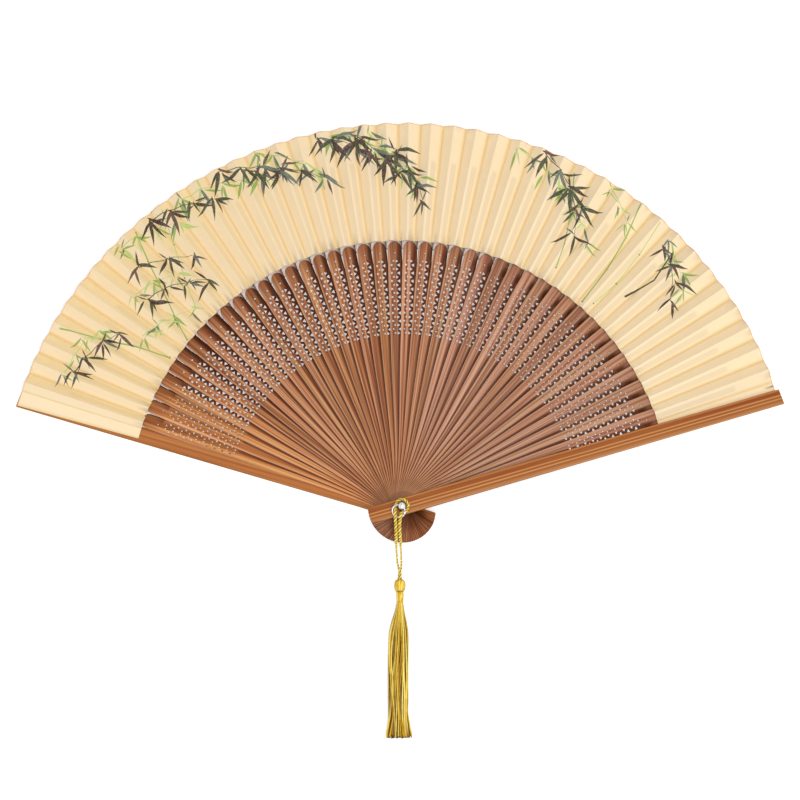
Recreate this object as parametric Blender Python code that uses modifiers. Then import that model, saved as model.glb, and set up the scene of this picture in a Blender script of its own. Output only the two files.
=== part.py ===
"""A folding fan, open and lying on a table with its front face up.

The frame is in metres with +Z up. The origin is on the pivot's axis, at the level that the fan
rests on. The leaf points to +Y, the tassel to -Y, the rear guard lies to the left and the front
guard to the right. The guards and ribs are flat slats threaded on one rivet, each a step higher
than the one to its left. A pleated leaf joins their upper blades. The rivet's ball head carries
a wire ring, and a cord with a tassel is looped round its neck and through the ring.
"""

import math

import bmesh
import bpy
from mathutils import Matrix, Vector

# How the fan opens
RIB_COUNT = 43
OPENING = math.radians(147.4)
REAR_ANGLE = math.pi / 2 + OPENING / 2
REAR_CROWDING = math.radians(1.57)

# The stack of slats, from the table up
GUARD_T = 0.0018
RIB_T = 0.00024
STACK_GAP = 0.00006
PITCH = RIB_T + STACK_GAP

# The slats' outlines, along r from the pivot's axis and across it
REAR_TIP_R = 0.1951
FRONT_TIP_R = 0.1922
TAIL_R = 0.0165
GUARD_TAIL_W = 0.0070
GUARD_PIVOT_W = 0.0083
GUARD_TIP_W = 0.0076
GUARD_TIP_SLANT = 0.0006
GUARD_EDGE = 0.00025
RIB_TAIL_W = 0.0062
RIB_PIVOT_W = 0.0065
RIB_WAIST_W = 0.0050
RIB_WAIST_R = 0.0300
RIB_SHOULDER_W = 0.0064
RIB_SHOULDER_R = 0.0820
RIB_HEAD_W = 0.0070
RIB_HEAD_TOP_R = 0.1320
STRIP_W = 0.0025
STRIP_TIP_R = 0.1720
LATTICE_START_R = 0.0853
LATTICE_PERIOD = 0.00395
LATTICE_W = 0.0036
LATTICE_BAR = 0.00095

# The rivet
PIN_R = 0.0009
PIN_CLEARANCE = 0.00025
KNOB_R = 0.0020
KNOB_UP = 0.0029
WASHER_R = 0.0023
WASHER_T = 0.0006
WASHER_FIT = 0.0001
RECESS_CLEARANCE = 0.0003

# The leaf
LEAF_OUTER_R = 0.1903
LEAF_REAR_REACH = 0.0045
LEAF_T = 0.0002
LEAF_GAP = 0.0002
LEAF_HEAD_GAP = 0.0003
FOLD_DEPTH = 0.0049
FOLD_DROP = 0.0003
MOUNTAIN_LEAD = math.radians(0.8)
VALLEY_TRAIL = math.radians(1.0)
REAR_VALLEY_TRAIL = math.radians(0.84)
EVEN_VALLEYS_FROM = 15
END_VALLEY_TRAIL = math.radians(1.175)
END_PANEL_LEAD = math.radians(0.95)
TAB_LEAD = math.radians(1.3)
TAB_TRAIL = math.radians(0.9)

# The ring through the rivet's head, and where it points seen from above
RING_R = 0.0031
RING_WIRE_R = 0.0004
RING_TUNNEL_GAP = 0.00025
RING_REST_GAP = 0.00012
RING_HEADING = math.radians(236.5)

# The cord and the tassel, which lie on the table
CORD_R = 0.0007
CORD_POINTS = 64
TASSEL_X = -0.00095
HEAD_TOP_Y = -0.0341
HEAD_LENGTH = 0.0059
HEAD_R = 0.00265
NECK_LENGTH = 0.0050
NECK_R = 0.0020
NECK_END_R = 0.00165
SKIRT_LENGTH = 0.0660
SKIRT_W = 0.0100
SKIRT_HEM_W = 0.0133
SKIRT_H = 0.0046
SKIRT_FLUTES = 10
FLUTE_DEPTH = 0.06
SOFT_GAP = 0.0003
TABLE_GAP = 0.00005

# The route of the cord's middle: out of the tassel's head, up to the rivet, round it and back
CORD_ROUTE = [
    (-0.00005, -0.03380, 0.00262),
    (-0.00010, -0.03220, 0.00295),
    (-0.00095, -0.03000, 0.00310),
    (-0.00190, -0.02780, 0.00215),
    (-0.00232, -0.02530, 0.00165),
    (-0.00262, -0.02270, 0.00370),
    (-0.00295, -0.02000, 0.00810),
    (-0.00310, -0.01720, 0.01235),
    (-0.00312, -0.01320, 0.01490),
    (-0.00313, -0.00900, 0.01710),
    (-0.00316, -0.00660, 0.01830),
    (-0.00318, -0.00490, 0.01868),
    (-0.00322, -0.00330, 0.01835),
    (-0.00325, -0.00190, 0.01778),
    (-0.00325, -0.00040, 0.01740),
    (-0.00290, 0.00120, 0.01738),
    (-0.00175, 0.00278, 0.01738),
    (0.00000, 0.00340, 0.01738),
    (0.00175, 0.00278, 0.01738),
    (0.00290, 0.00120, 0.01738),
    (0.00297, -0.00050, 0.01738),
    (0.00222, -0.00190, 0.01738),
    (0.00095, -0.00270, 0.01755),
    (-0.00018, -0.00345, 0.01820),
    (-0.00060, -0.00470, 0.01890),
    (-0.00085, -0.00640, 0.01870),
    (-0.00100, -0.00900, 0.01720),
    (-0.00075, -0.01320, 0.01490),
    (-0.00045, -0.01720, 0.01235),
    (-0.00030, -0.02000, 0.00810),
    (-0.00020, -0.02270, 0.00370),
    (-0.00010, -0.02530, 0.00145),
    (-0.00015, -0.02780, 0.00085),
    (-0.00095, -0.03000, 0.00090),
    (-0.00180, -0.03220, 0.00190),
    (-0.00185, -0.03380, 0.00262),
]


def rib_angle(number):
    """The direction of a slat, 0 the rear guard: they stand closer together towards that guard."""
    share = number / (RIB_COUNT + 1)
    return REAR_ANGLE - OPENING * share + REAR_CROWDING * math.sin(math.pi * share)


def rib_level(number):
    """The height of the middle of rib number."""
    return GUARD_T + STACK_GAP + RIB_T / 2 + (number - 1) * PITCH


def front_guard_base():
    """The height of the front guard's underside."""
    return rib_level(RIB_COUNT) + RIB_T / 2 + STACK_GAP


def front_face():
    """The height of the front guard's upper face."""
    return front_guard_base() + GUARD_T


def spaced(start, end, count):
    """Values from start to end, count of them."""
    return [start + (end - start) * i / (count - 1) for i in range(count)]


def arc(radius, start, end, count, centre=(0.0, 0.0)):
    """Points on an arc about centre, from angle start to angle end."""
    return [
        (centre[0] + radius * math.cos(a), centre[1] + radius * math.sin(a))
        for a in spaced(start, end, count)
    ]


def circle(radius, count):
    """A closed polygon whose flats touch a circle of this radius, for a hole."""
    outer = radius / math.cos(math.pi / count)
    return [
        (outer * math.cos(2 * math.pi * i / count), outer * math.sin(2 * math.pi * i / count))
        for i in range(count)
    ]


def material(name, colour, roughness, metallic=0.0):
    """A plain material for one kind of surface."""
    made = bpy.data.materials.new(name)
    made.use_nodes = True
    shader = made.node_tree.nodes["Principled BSDF"]
    shader.inputs["Base Color"].default_value = (*colour, 1.0)
    shader.inputs["Roughness"].default_value = roughness
    shader.inputs["Metallic"].default_value = metallic
    return made


def add_object(name, mesh, collection, surface):
    """An object called name that shows mesh."""
    if surface and not mesh.materials:
        mesh.materials.append(surface)
    made = bpy.data.objects.new(name, mesh)
    collection.objects.link(made)
    return made


def weld(mesh):
    """Joins the vertices that lie on each other, as a curve's caps and sides do."""
    shape = bmesh.new()
    shape.from_mesh(mesh)
    bmesh.ops.remove_doubles(shape, verts=shape.verts, dist=0.000001)
    shape.to_mesh(mesh)
    shape.free()


def plate_mesh(name, outline, holes, thickness):
    """A flat slat: a filled 2D curve with its holes, extruded and made a welded mesh."""
    curve = bpy.data.curves.new(name, "CURVE")
    curve.dimensions = "2D"
    curve.fill_mode = "BOTH"
    curve.extrude = thickness / 2
    for loop in [outline, *holes]:
        spline = curve.splines.new("POLY")
        spline.points.add(len(loop) - 1)
        for point, (along, across) in zip(spline.points, loop):
            point.co = (along, across, 0.0, 1.0)
        spline.use_cyclic_u = True
    drawn = bpy.data.objects.new(name, curve)
    bpy.context.scene.collection.objects.link(drawn)
    mesh = bpy.data.meshes.new_from_object(drawn.evaluated_get(bpy.context.evaluated_depsgraph_get()))
    bpy.data.objects.remove(drawn)
    bpy.data.curves.remove(curve)
    mesh.name = name
    weld(mesh)
    return mesh


def turned(name, profile, steps, collection, surface):
    """A solid turned about Z from a profile of (radius, height) that runs from the top down."""
    mesh = bpy.data.meshes.new(name)
    mesh.from_pydata(
        [(radius, 0.0, height) for radius, height in profile],
        [(i, i + 1) for i in range(len(profile) - 1)],
        [],
    )
    made = add_object(name, mesh, collection, surface)
    screw = made.modifiers.new("Turn", "SCREW")
    screw.steps = steps
    screw.render_steps = steps
    screw.use_merge_vertices = True
    screw.merge_threshold = 0.00001
    return made


def cut(target, cutter):
    """Takes cutter's shape out of target."""
    cutter.hide_render = True
    cutter.display_type = "WIRE"
    boolean = target.modifiers.new("Cut " + cutter.name, "BOOLEAN")
    boolean.operation = "DIFFERENCE"
    boolean.solver = "EXACT"
    boolean.object = cutter


def move_to(made, collection):
    """Puts an object that an operator made in one collection only."""
    for old in list(made.users_collection):
        old.objects.unlink(made)
    collection.objects.link(made)


def rib_outline():
    """A rib from its round tail to the tip of the blade that the leaf is glued to."""
    tail = math.asin(RIB_TAIL_W / 2 / TAIL_R)
    head_centre = RIB_HEAD_TOP_R - RIB_HEAD_W / 2
    neck = math.asin(STRIP_W / RIB_HEAD_W)
    side = [
        (0.0, RIB_PIVOT_W / 2),
        (RIB_WAIST_R, RIB_WAIST_W / 2),
        (RIB_SHOULDER_R, RIB_SHOULDER_W / 2),
    ]
    head = arc(RIB_HEAD_W / 2, neck, math.pi / 2, 4, (head_centre, 0.0))
    right = [(along, -across) for along, across in side + head[::-1]]
    tip = [(STRIP_TIP_R, -STRIP_W / 2), (STRIP_TIP_R, STRIP_W / 2)]
    return arc(TAIL_R, math.pi - tail, math.pi + tail, 4) + right + tip + head + side[::-1]


def rib_holes():
    """The hole for the rivet and the row of openings, each as long as the lattice lets it be."""
    holes = [circle(PIN_R + PIN_CLEARANCE, 8)]
    reach = (LATTICE_PERIOD - LATTICE_BAR) / 2
    last = RIB_HEAD_TOP_R - RIB_HEAD_W - reach
    centre = LATTICE_START_R + LATTICE_PERIOD / 2
    while centre <= last:
        holes.append(
            [
                (centre - reach, 0.0),
                (centre, -LATTICE_W / 2),
                (centre + reach, 0.0),
                (centre, LATTICE_W / 2),
            ]
        )
        centre += LATTICE_PERIOD
    return holes


def build_ribs(collection):
    """The ribs, each one step round and one pitch up from the one before it."""
    mesh = plate_mesh("rib", rib_outline(), rib_holes(), RIB_T)
    mesh.materials.append(material("rib bamboo", (0.38, 0.15, 0.07), 0.45))
    for number in range(1, RIB_COUNT + 1):
        rib = add_object(f"rib_{number:02d}", mesh, collection, None)
        rib.location = (0.0, 0.0, rib_level(number))
        rib.rotation_euler = (0.0, 0.0, rib_angle(number))


def guard_outline(tip, slant):
    """A guard from its tail to its tip, whose end leans by slant."""
    tail = math.asin(GUARD_TAIL_W / 2 / TAIL_R)
    return arc(TAIL_R, math.pi - tail, math.pi + tail, 6) + [
        (0.0, -GUARD_PIVOT_W / 2),
        (tip + slant / 2, -GUARD_TIP_W / 2),
        (tip - slant / 2, GUARD_TIP_W / 2),
        (0.0, GUARD_PIVOT_W / 2),
    ]


def build_guard(name, tip, slant, base, angle, surface, collection):
    """A guard whose underside is at height base."""
    holes = [circle(PIN_R + PIN_CLEARANCE, 12)]
    mesh = plate_mesh(name, guard_outline(tip, slant), holes, GUARD_T)
    guard = add_object(name, mesh, collection, surface)
    guard.location = (0.0, 0.0, base + GUARD_T / 2)
    guard.rotation_euler = (0.0, 0.0, angle)
    bevel = guard.modifiers.new("Eased edges", "BEVEL")
    bevel.width = GUARD_EDGE
    bevel.segments = 1
    bevel.limit_method = "ANGLE"
    bevel.angle_limit = math.radians(60)
    return guard


def build_guards(collection, cutters):
    """The two guards. The rear one has a recess below for the rivet's washer."""
    surface = material("guard bamboo", (0.47, 0.19, 0.07), 0.4)
    lean = GUARD_TIP_SLANT
    rear = build_guard("rear_guard", REAR_TIP_R, -lean, 0.0, REAR_ANGLE, surface, collection)
    base, angle = front_guard_base(), REAR_ANGLE - OPENING
    build_guard("front_guard", FRONT_TIP_R, lean, base, angle, surface, collection)
    depth = WASHER_T + RECESS_CLEARANCE
    below = WASHER_T
    bpy.ops.mesh.primitive_cylinder_add(
        vertices=20,
        radius=WASHER_R + RECESS_CLEARANCE,
        depth=depth + below,
        location=(0.0, 0.0, (depth - below) / 2),
    )
    recess = bpy.context.active_object
    recess.name = "washer_recess"
    move_to(recess, cutters)
    cut(rear, recess)


def ring_centre():
    """The middle of the ring, which hangs from the ball's middle down to the front guard."""
    drop = KNOB_UP - RING_REST_GAP - RING_WIRE_R
    tilt = math.asin(drop / (2 * RING_R))
    along = Vector((math.cos(RING_HEADING), math.sin(RING_HEADING), 0.0))
    down = along * math.cos(tilt) - Vector((0.0, 0.0, math.sin(tilt)))
    ball = Vector((0.0, 0.0, front_face() + KNOB_UP))
    return ball + down * RING_R, tilt


def add_ring(name, wire, collection):
    """A ring of round wire where the ring lies."""
    centre, tilt = ring_centre()
    bpy.ops.mesh.primitive_torus_add(
        major_segments=24, minor_segments=8, major_radius=RING_R, minor_radius=wire
    )
    ring = bpy.context.active_object
    ring.name = name
    turn = Matrix.Rotation(RING_HEADING, 4, "Z") @ Matrix.Rotation(tilt, 4, "Y")
    ring.matrix_world = Matrix.Translation(centre) @ turn
    move_to(ring, collection)
    return ring


def build_rivet(collection, cutters):
    """The rivet with its ball head, the washer that its foot is spread over, and the ring."""
    steel = material("polished steel", (0.72, 0.72, 0.72), 0.18, 1.0)
    ball = front_face() + KNOB_UP
    meet = math.asin(PIN_R / KNOB_R)
    head = [
        (KNOB_R * math.sin(a), ball + KNOB_R * math.cos(a))
        for a in spaced(0.0, math.pi - meet, 9)
    ]
    pin = turned("rivet_pin", head + [(PIN_R, 0.0), (0.0, 0.0)], 16, collection, steel)
    cut(pin, add_ring("ring_tunnel", RING_WIRE_R + RING_TUNNEL_GAP, cutters))
    ring = add_ring("tassel_ring", RING_WIRE_R, collection)
    ring.data.materials.append(steel)
    inner = PIN_R + WASHER_FIT
    turned(
        "rivet_washer",
        [(inner, WASHER_T), (WASHER_R, WASHER_T), (WASHER_R, 0.0), (inner, 0.0), (inner, WASHER_T)],
        16,
        collection,
        steel,
    )


def leaf_creases():
    """Each crease of the leaf from the rear guard to the front: its angle and its height at r."""
    rise = FOLD_DEPTH / LEAF_OUTER_R
    on_guard = GUARD_T + LEAF_GAP + LEAF_T / 2
    under_guard = front_guard_base() - LEAF_GAP - LEAF_T / 2
    front = rib_angle(RIB_COUNT + 1)
    creases = [(REAR_ANGLE + END_PANEL_LEAD, on_guard, 0.0), (REAR_ANGLE - END_VALLEY_TRAIL, on_guard, 0.0)]
    for number in range(1, RIB_COUNT + 1):
        base = rib_level(number) - FOLD_DROP
        share = min(1.0, number / EVEN_VALLEYS_FROM)
        trail = REAR_VALLEY_TRAIL + (VALLEY_TRAIL - REAR_VALLEY_TRAIL) * share
        creases.append((rib_angle(number) + MOUNTAIN_LEAD, base, rise))
        creases.append((rib_angle(number) - trail, base, 0.0))
    creases.append((front + TAB_LEAD, under_guard, 0.0))
    creases.append((front - TAB_TRAIL, under_guard, 0.0))
    return creases


def leaf_edge(angle):
    """The radius of the leaf's outer edge, which reaches further towards the rear guard."""
    share = max(0.0, (angle - math.pi / 2) / (OPENING / 2))
    return LEAF_OUTER_R + LEAF_REAR_REACH * share**2


def build_leaf(collection):
    """The pleated leaf: a flat grid whose lines are laid on the creases, with a thickness."""
    creases = leaf_creases()
    shape = bmesh.new()
    bmesh.ops.create_grid(shape, x_segments=len(creases) - 1, y_segments=1, size=1.0)
    inner = RIB_HEAD_TOP_R + LEAF_HEAD_GAP
    for vertex in shape.verts:
        angle, base, rise = creases[round((vertex.co.x + 1) / 2 * (len(creases) - 1))]
        radius = leaf_edge(angle) if vertex.co.y > 0 else inner
        vertex.co = (radius * math.cos(angle), radius * math.sin(angle), base + rise * radius)
    mesh = bpy.data.meshes.new("leaf")
    shape.to_mesh(mesh)
    shape.free()
    surface = material("cream leaf", (0.93, 0.74, 0.48), 0.7)
    leaf = add_object("leaf", mesh, collection, surface)
    solidify = leaf.modifiers.new("Thickness", "SOLIDIFY")
    solidify.thickness = LEAF_T
    solidify.offset = 0.0
    solidify.use_even_offset = True


def smooth_route(route, count):
    """Points evenly spaced along a smooth curve through route."""
    knots = [Vector(point) for point in route]
    ends = [2 * knots[0] - knots[1], *knots, 2 * knots[-1] - knots[-2]]
    dense = []
    for before, start, end, after in zip(ends, ends[1:], ends[2:], ends[3:]):
        for t in spaced(0.0, 1.0, 17)[:-1]:
            dense.append(
                0.5
                * (
                    2 * start
                    + (end - before) * t
                    + (2 * before - 5 * start + 4 * end - after) * t**2
                    + (3 * start - before - 3 * end + after) * t**3
                )
            )
    dense.append(knots[-1])
    lengths = [0.0]
    for start, end in zip(dense, dense[1:]):
        lengths.append(lengths[-1] + (end - start).length)
    points, index = [], 0
    for target in spaced(0.0, lengths[-1], count):
        while index < len(lengths) - 2 and lengths[index + 1] < target:
            index += 1
        share = (target - lengths[index]) / (lengths[index + 1] - lengths[index])
        points.append(dense[index].lerp(dense[index + 1], share))
    return points


def build_cord(collection, surface):
    """The tassel's cord, one tube that runs up to the rivet, round its neck and back."""
    curve = bpy.data.curves.new("tassel_cord", "CURVE")
    curve.dimensions = "3D"
    curve.bevel_depth = CORD_R
    curve.bevel_resolution = 2
    curve.use_fill_caps = True
    points = smooth_route(CORD_ROUTE, CORD_POINTS)
    spline = curve.splines.new("POLY")
    spline.points.add(len(points) - 1)
    for point, place in zip(spline.points, points):
        point.co = (*place, 1.0)
    curve.materials.append(surface)
    collection.objects.link(bpy.data.objects.new("tassel_cord", curve))


def lay_along_y(made, top, radius):
    """Lays a turned piece on the table with its top at y = top and its axis along the tassel."""
    made.rotation_euler = (-math.pi / 2, 0.0, 0.0)
    made.location = (TASSEL_X, top, radius + TABLE_GAP)


def build_tassel_top(collection, surface):
    """The tassel's head knot and the bound neck below it."""
    half = HEAD_LENGTH / 2
    profile = [
        (HEAD_R * math.sin(a) ** 0.55, -half + half * math.cos(a))
        for a in spaced(0.0, math.pi, 11)
    ]
    profile[0] = (0.0, 0.0)
    profile[-1] = (0.0, -HEAD_LENGTH)
    head = turned("tassel_head", profile, 16, collection, surface)
    lay_along_y(head, HEAD_TOP_Y, HEAD_R)
    neck = turned(
        "tassel_neck",
        [(0.0, 0.0), (NECK_R, 0.0), (NECK_END_R, -NECK_LENGTH), (0.0, -NECK_LENGTH)],
        16,
        collection,
        surface,
    )
    lay_along_y(neck, HEAD_TOP_Y - HEAD_LENGTH - SOFT_GAP, NECK_R)


def skirt_section(share):
    """The half width and half height of the tassel's skirt at share of its length."""
    swell = min(1.0, share / 0.33)
    swell = swell * swell * (3 - 2 * swell)
    flare = max(0.0, (share - 0.86) / 0.14)
    width = NECK_END_R + (SKIRT_W / 2 - NECK_END_R) * swell + (SKIRT_HEM_W - SKIRT_W) / 2 * flare
    height = NECK_END_R + (SKIRT_H / 2 - NECK_END_R) * swell
    return width, height


def build_skirt(collection, surface):
    """The tassel's skirt, a loft of fluted oval sections that spread out on the table."""
    around = 2 * SKIRT_FLUTES
    top = HEAD_TOP_Y - HEAD_LENGTH - NECK_LENGTH - 2 * SOFT_GAP
    shape = bmesh.new()
    rings = []
    for share in (0.0, 0.08, 0.16, 0.25, 0.33, 0.6, 0.86, 1.0):
        width, height = skirt_section(share)
        ring = []
        for i in range(around):
            turn = 2 * math.pi * i / around
            flute = 1 - (FLUTE_DEPTH if i % 2 else 0.0) * min(1.0, share / 0.25)
            ring.append(
                shape.verts.new(
                    (
                        TASSEL_X + width * flute * math.cos(turn),
                        top - SKIRT_LENGTH * share,
                        height + TABLE_GAP + height * flute * math.sin(turn),
                    )
                )
            )
        rings.append(ring)
    for upper, lower in zip(rings, rings[1:]):
        for i in range(around):
            after = (i + 1) % around
            shape.faces.new((upper[i], upper[after], lower[after], lower[i]))
    shape.faces.new(rings[0])
    shape.faces.new(rings[-1])
    bmesh.ops.recalc_face_normals(shape, faces=shape.faces)
    mesh = bpy.data.meshes.new("tassel_skirt")
    shape.to_mesh(mesh)
    shape.free()
    add_object("tassel_skirt", mesh, collection, surface)


def clear_scene():
    """Removes whatever the file held."""
    for old in list(bpy.data.objects):
        bpy.data.objects.remove(old)


def main():
    """Builds the whole fan."""
    clear_scene()
    fan = bpy.data.collections.new("folding_fan")
    cutters = bpy.data.collections.new("cutters")
    bpy.context.scene.collection.children.link(fan)
    bpy.context.scene.collection.children.link(cutters)
    build_guards(fan, cutters)
    build_ribs(fan)
    build_leaf(fan)
    build_rivet(fan, cutters)
    gold = material("golden yarn", (0.68, 0.42, 0.06), 0.6)
    build_cord(fan, gold)
    build_tassel_top(fan, gold)
    build_skirt(fan, gold)


main()
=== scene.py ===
"""Dresses the folding fan: pierced bamboo slats on a rivet, a pleated leaf and a gold tassel.

Every length is in metres but where a name says otherwise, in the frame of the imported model. The
fan lies open on the floor with its pivot at the origin, its leaf towards +Y and its tassel
towards -Y.
"""

import logging
import math
import random
from collections.abc import Callable, Iterable, Sequence
from dataclasses import dataclass, field
from enum import Enum
from typing import NamedTuple

import bpy
from mathutils import Matrix, Vector
from mathutils.geometry import delaunay_2d_cdt
from mathutils.kdtree import KDTree

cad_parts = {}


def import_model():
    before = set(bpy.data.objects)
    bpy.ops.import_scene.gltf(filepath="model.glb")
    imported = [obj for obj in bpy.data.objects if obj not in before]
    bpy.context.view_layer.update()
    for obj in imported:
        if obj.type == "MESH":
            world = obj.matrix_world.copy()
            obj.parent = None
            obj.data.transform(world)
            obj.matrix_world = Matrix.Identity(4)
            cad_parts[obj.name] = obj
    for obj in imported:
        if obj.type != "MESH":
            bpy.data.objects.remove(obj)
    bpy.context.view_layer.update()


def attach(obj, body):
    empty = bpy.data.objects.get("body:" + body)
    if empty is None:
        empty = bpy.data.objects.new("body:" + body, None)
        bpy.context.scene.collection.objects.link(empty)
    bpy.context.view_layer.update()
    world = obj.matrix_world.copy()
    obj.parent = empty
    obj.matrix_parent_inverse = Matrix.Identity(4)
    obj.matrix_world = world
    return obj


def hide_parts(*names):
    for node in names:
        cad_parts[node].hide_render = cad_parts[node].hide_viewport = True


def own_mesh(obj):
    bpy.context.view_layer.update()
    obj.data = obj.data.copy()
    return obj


LOG = logging.getLogger("fan")
Point = tuple[float, float, float]
Colour = tuple[float, float, float]
Grain = tuple[Colour, Colour, Colour]
Bands = tuple[tuple[float, float, Colour], ...]
Pair = tuple[float, float]
Line = list[tuple[Vector, float]]
Piece = bpy.types.Object
Material = bpy.types.Material


class Slot(str, Enum):
    """Names of the material slots."""

    GUARD = "guard_bamboo"
    RIB = "rib_bamboo"
    LEAF = "leaf_cloth"
    STEEL = "steel"
    YARN = "gold_yarn"


def from_srgb(red: int, green: int, blue: int) -> Colour:
    """Turns a colour of three bytes into the linear one that shaders take.

    Args:
        red: The red byte.
        green: The green byte.
        blue: The blue byte.

    Returns:
        The linear colour.
    """
    parts = []
    for value in (red, green, blue):
        share = value / 255
        parts.append(share / 12.92 if share <= 0.04045 else ((share + 0.055) / 1.055) ** 2.4)
    return parts[0], parts[1], parts[2]


def ease(share: float) -> float:
    """Runs smoothly from 0 to 1 as share does, and stays there outside it."""
    held = min(1.0, max(0.0, share))
    return held * held * (3 - 2 * held)


class Crease(NamedTuple):
    """A crease of the leaf: its angle, its height at the pivot and its rise for each metre."""

    angle: float
    base: float
    rise: float = 0.0

    def in_plan(self, r: float) -> Vector:
        """The crease's place in plan at a distance from the pivot."""
        return Vector((r * math.cos(self.angle), r * math.sin(self.angle)))

    def height(self, r: float) -> float:
        """The crease's height at a distance from the pivot."""
        return self.base + self.rise * r

    def at(self, r: float) -> Vector:
        """The crease's place at a distance from the pivot."""
        return Vector((*self.in_plan(r), self.height(r)))


def ahead_at(points: Sequence[Vector], number: int) -> Vector:
    """From the point before number to the one after it."""
    return points[min(number + 1, len(points) - 1)] - points[max(number - 1, 0)]


@dataclass(frozen=True)
class FanPlan:
    """Where the slats and the creases lie, as in the source of the solids."""

    ribs: int = 43
    opening: float = math.radians(147.4)
    rear: float = math.radians(163.7)
    crowding: float = math.radians(1.57)
    guard_t: float = 0.0018
    rib_t: float = 0.00024
    gap: float = 0.00006
    tail_r: float = 0.0165
    rear_tip_r: float = 0.1951
    front_tip_r: float = 0.1922
    head_r: float = 0.1320
    strip_r: float = 0.1720
    leaf_r: float = 0.1903
    rear_reach: float = 0.0045
    leaf_inner_r: float = 0.1321
    rear_inner_reach: float = 0.0013
    front_inner_reach: float = 0.0011
    leaf_t: float = 0.00012
    leaf_gap: float = 0.0002
    fold_depth: float = 0.0049
    fold_drop: float = 0.0003
    lead: float = math.radians(0.8)
    even_trail: float = math.radians(1.0)
    rear_trail: float = math.radians(0.84)
    even_from: int = 15
    rear_guard_lead: float = math.radians(0.95)
    rear_guard_trail: float = math.radians(1.175)
    front_guard_lead: float = math.radians(1.3)
    front_guard_trail: float = math.radians(0.9)
    glue: float = 0.0001

    def angle(self, number: int) -> float:
        """The direction of slat number, where 0 is the rear guard and 44 the front guard."""
        share = number / (self.ribs + 1)
        return self.rear - self.opening * share + self.crowding * math.sin(math.pi * share)

    def level(self, number: int) -> float:
        """The height of the middle of rib number."""
        return self.guard_t + self.gap + self.rib_t / 2 + (number - 1) * (self.rib_t + self.gap)

    @property
    def front_base(self) -> float:
        """The height of the front guard's underside."""
        return self.level(self.ribs) + self.rib_t / 2 + self.gap

    @property
    def front_face(self) -> float:
        """The height of the front guard's upper face."""
        return self.front_base + self.guard_t

    @property
    def rise(self) -> float:
        """How much a ridge of the leaf climbs for each metre from the pivot."""
        return self.fold_depth / self.leaf_r

    def trail(self, number: int) -> float:
        """The angle from rib number to the valley that follows it."""
        share = min(1.0, number / self.even_from)
        return self.rear_trail + (self.even_trail - self.rear_trail) * share

    def edges(self, angle: float) -> Pair:
        """The leaf's inner and outer radius, which both grow towards the rear guard.

        Args:
            angle: The direction from the pivot.

        Returns:
            The two radii.
        """
        share = (angle - math.pi / 2) / (self.opening / 2)
        reach = self.rear_inner_reach if share > 0 else self.front_inner_reach
        outer = self.leaf_r + self.rear_reach * max(0.0, share) ** 2
        return self.leaf_inner_r + reach * share, outer

    def slat_place(self, number: int, height: float) -> Matrix:
        """The place at a height over the pivot, turned to where slat number points."""
        return Matrix.Translation((0.0, 0.0, height)) @ Matrix.Rotation(self.angle(number), 4, "Z")

    def creases(self) -> list[Crease]:
        """Lists the creases of the leaf.

        Returns:
            The creases, from the rear guard to the front one.
        """
        on_guard = self.guard_t + self.leaf_gap + self.glue
        under_guard = self.front_base - self.leaf_gap - self.glue
        rear, front = self.angle(0), self.angle(self.ribs + 1)
        found = [
            Crease(rear + self.rear_guard_lead, on_guard),
            Crease(rear - self.rear_guard_trail, on_guard),
        ]
        for number in range(1, self.ribs + 1):
            angle, base = self.angle(number), self.level(number) - self.fold_drop
            found.append(Crease(angle + self.lead, base, self.rise))
            found.append(Crease(angle - self.trail(number), base))
        found.append(Crease(front + self.front_guard_lead, under_guard))
        found.append(Crease(front - self.front_guard_trail, under_guard))
        return found


PLAN = FanPlan()


# Work with operators


def put_down() -> None:
    """Deselects every object."""
    bpy.ops.object.select_all(action="DESELECT")


def pick_up(piece: Piece) -> None:
    """Makes piece the only selected object, and the active one.

    Args:
        piece: The object.
    """
    put_down()
    piece.select_set(True)
    bpy.context.view_layer.objects.active = piece


def made_piece(name: str) -> Piece:
    """Names the object that an operator has just made, and its mesh.

    Args:
        name: The name.

    Returns:
        The object.
    """
    piece = bpy.context.active_object
    piece.name = name
    piece.data.name = name
    return piece


def modify(piece: Piece, kind: str, keep: bool = False, **settings: object) -> None:
    """Adds a modifier and applies it.

    Args:
        piece: The object that it works on.
        kind: The modifier's type.
        keep: True to leave it live on the piece.
        **settings: Its properties.
    """
    modifier = piece.modifiers.new(kind.title(), kind)
    for name, value in settings.items():
        setattr(modifier, name, value)
    if not keep:
        pick_up(piece)
        bpy.ops.object.modifier_apply(modifier=modifier.name)


def settle(piece: Piece) -> None:
    """Moves the object's place, turn and scale into its mesh."""
    pick_up(piece)
    bpy.ops.object.transform_apply(location=True, rotation=True, scale=True)


def cylinder(
    name: str, sides: int, radius: float, depth: float, place: Point = (0.0, 0.0, 0.0)
) -> Piece:
    """Adds an upright cylinder.

    Args:
        name: Its name.
        sides: Its number of sides.
        radius: Its radius.
        depth: Its height.
        place: Its middle.

    Returns:
        The cylinder.
    """
    put_down()
    bpy.ops.mesh.primitive_cylinder_add(vertices=sides, radius=radius, depth=depth, location=place)
    piece = made_piece(name)
    settle(piece)
    return piece


def cut(piece: Piece, cutter: Piece) -> None:
    """Takes the cutter's form out of piece, and then removes the cutter."""
    modify(piece, "BOOLEAN", operation="DIFFERENCE", solver="EXACT", object=cutter)
    bpy.data.objects.remove(cutter)


def edit(piece: Piece, mode: str = "VERT") -> None:
    """Opens piece in edit mode with everything selected.

    Args:
        piece: The mesh object.
        mode: What is selected: VERT, EDGE or FACE.
    """
    pick_up(piece)
    bpy.ops.object.mode_set(mode="EDIT")
    bpy.ops.mesh.select_mode(type=mode)
    bpy.ops.mesh.select_all(action="SELECT")


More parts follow.
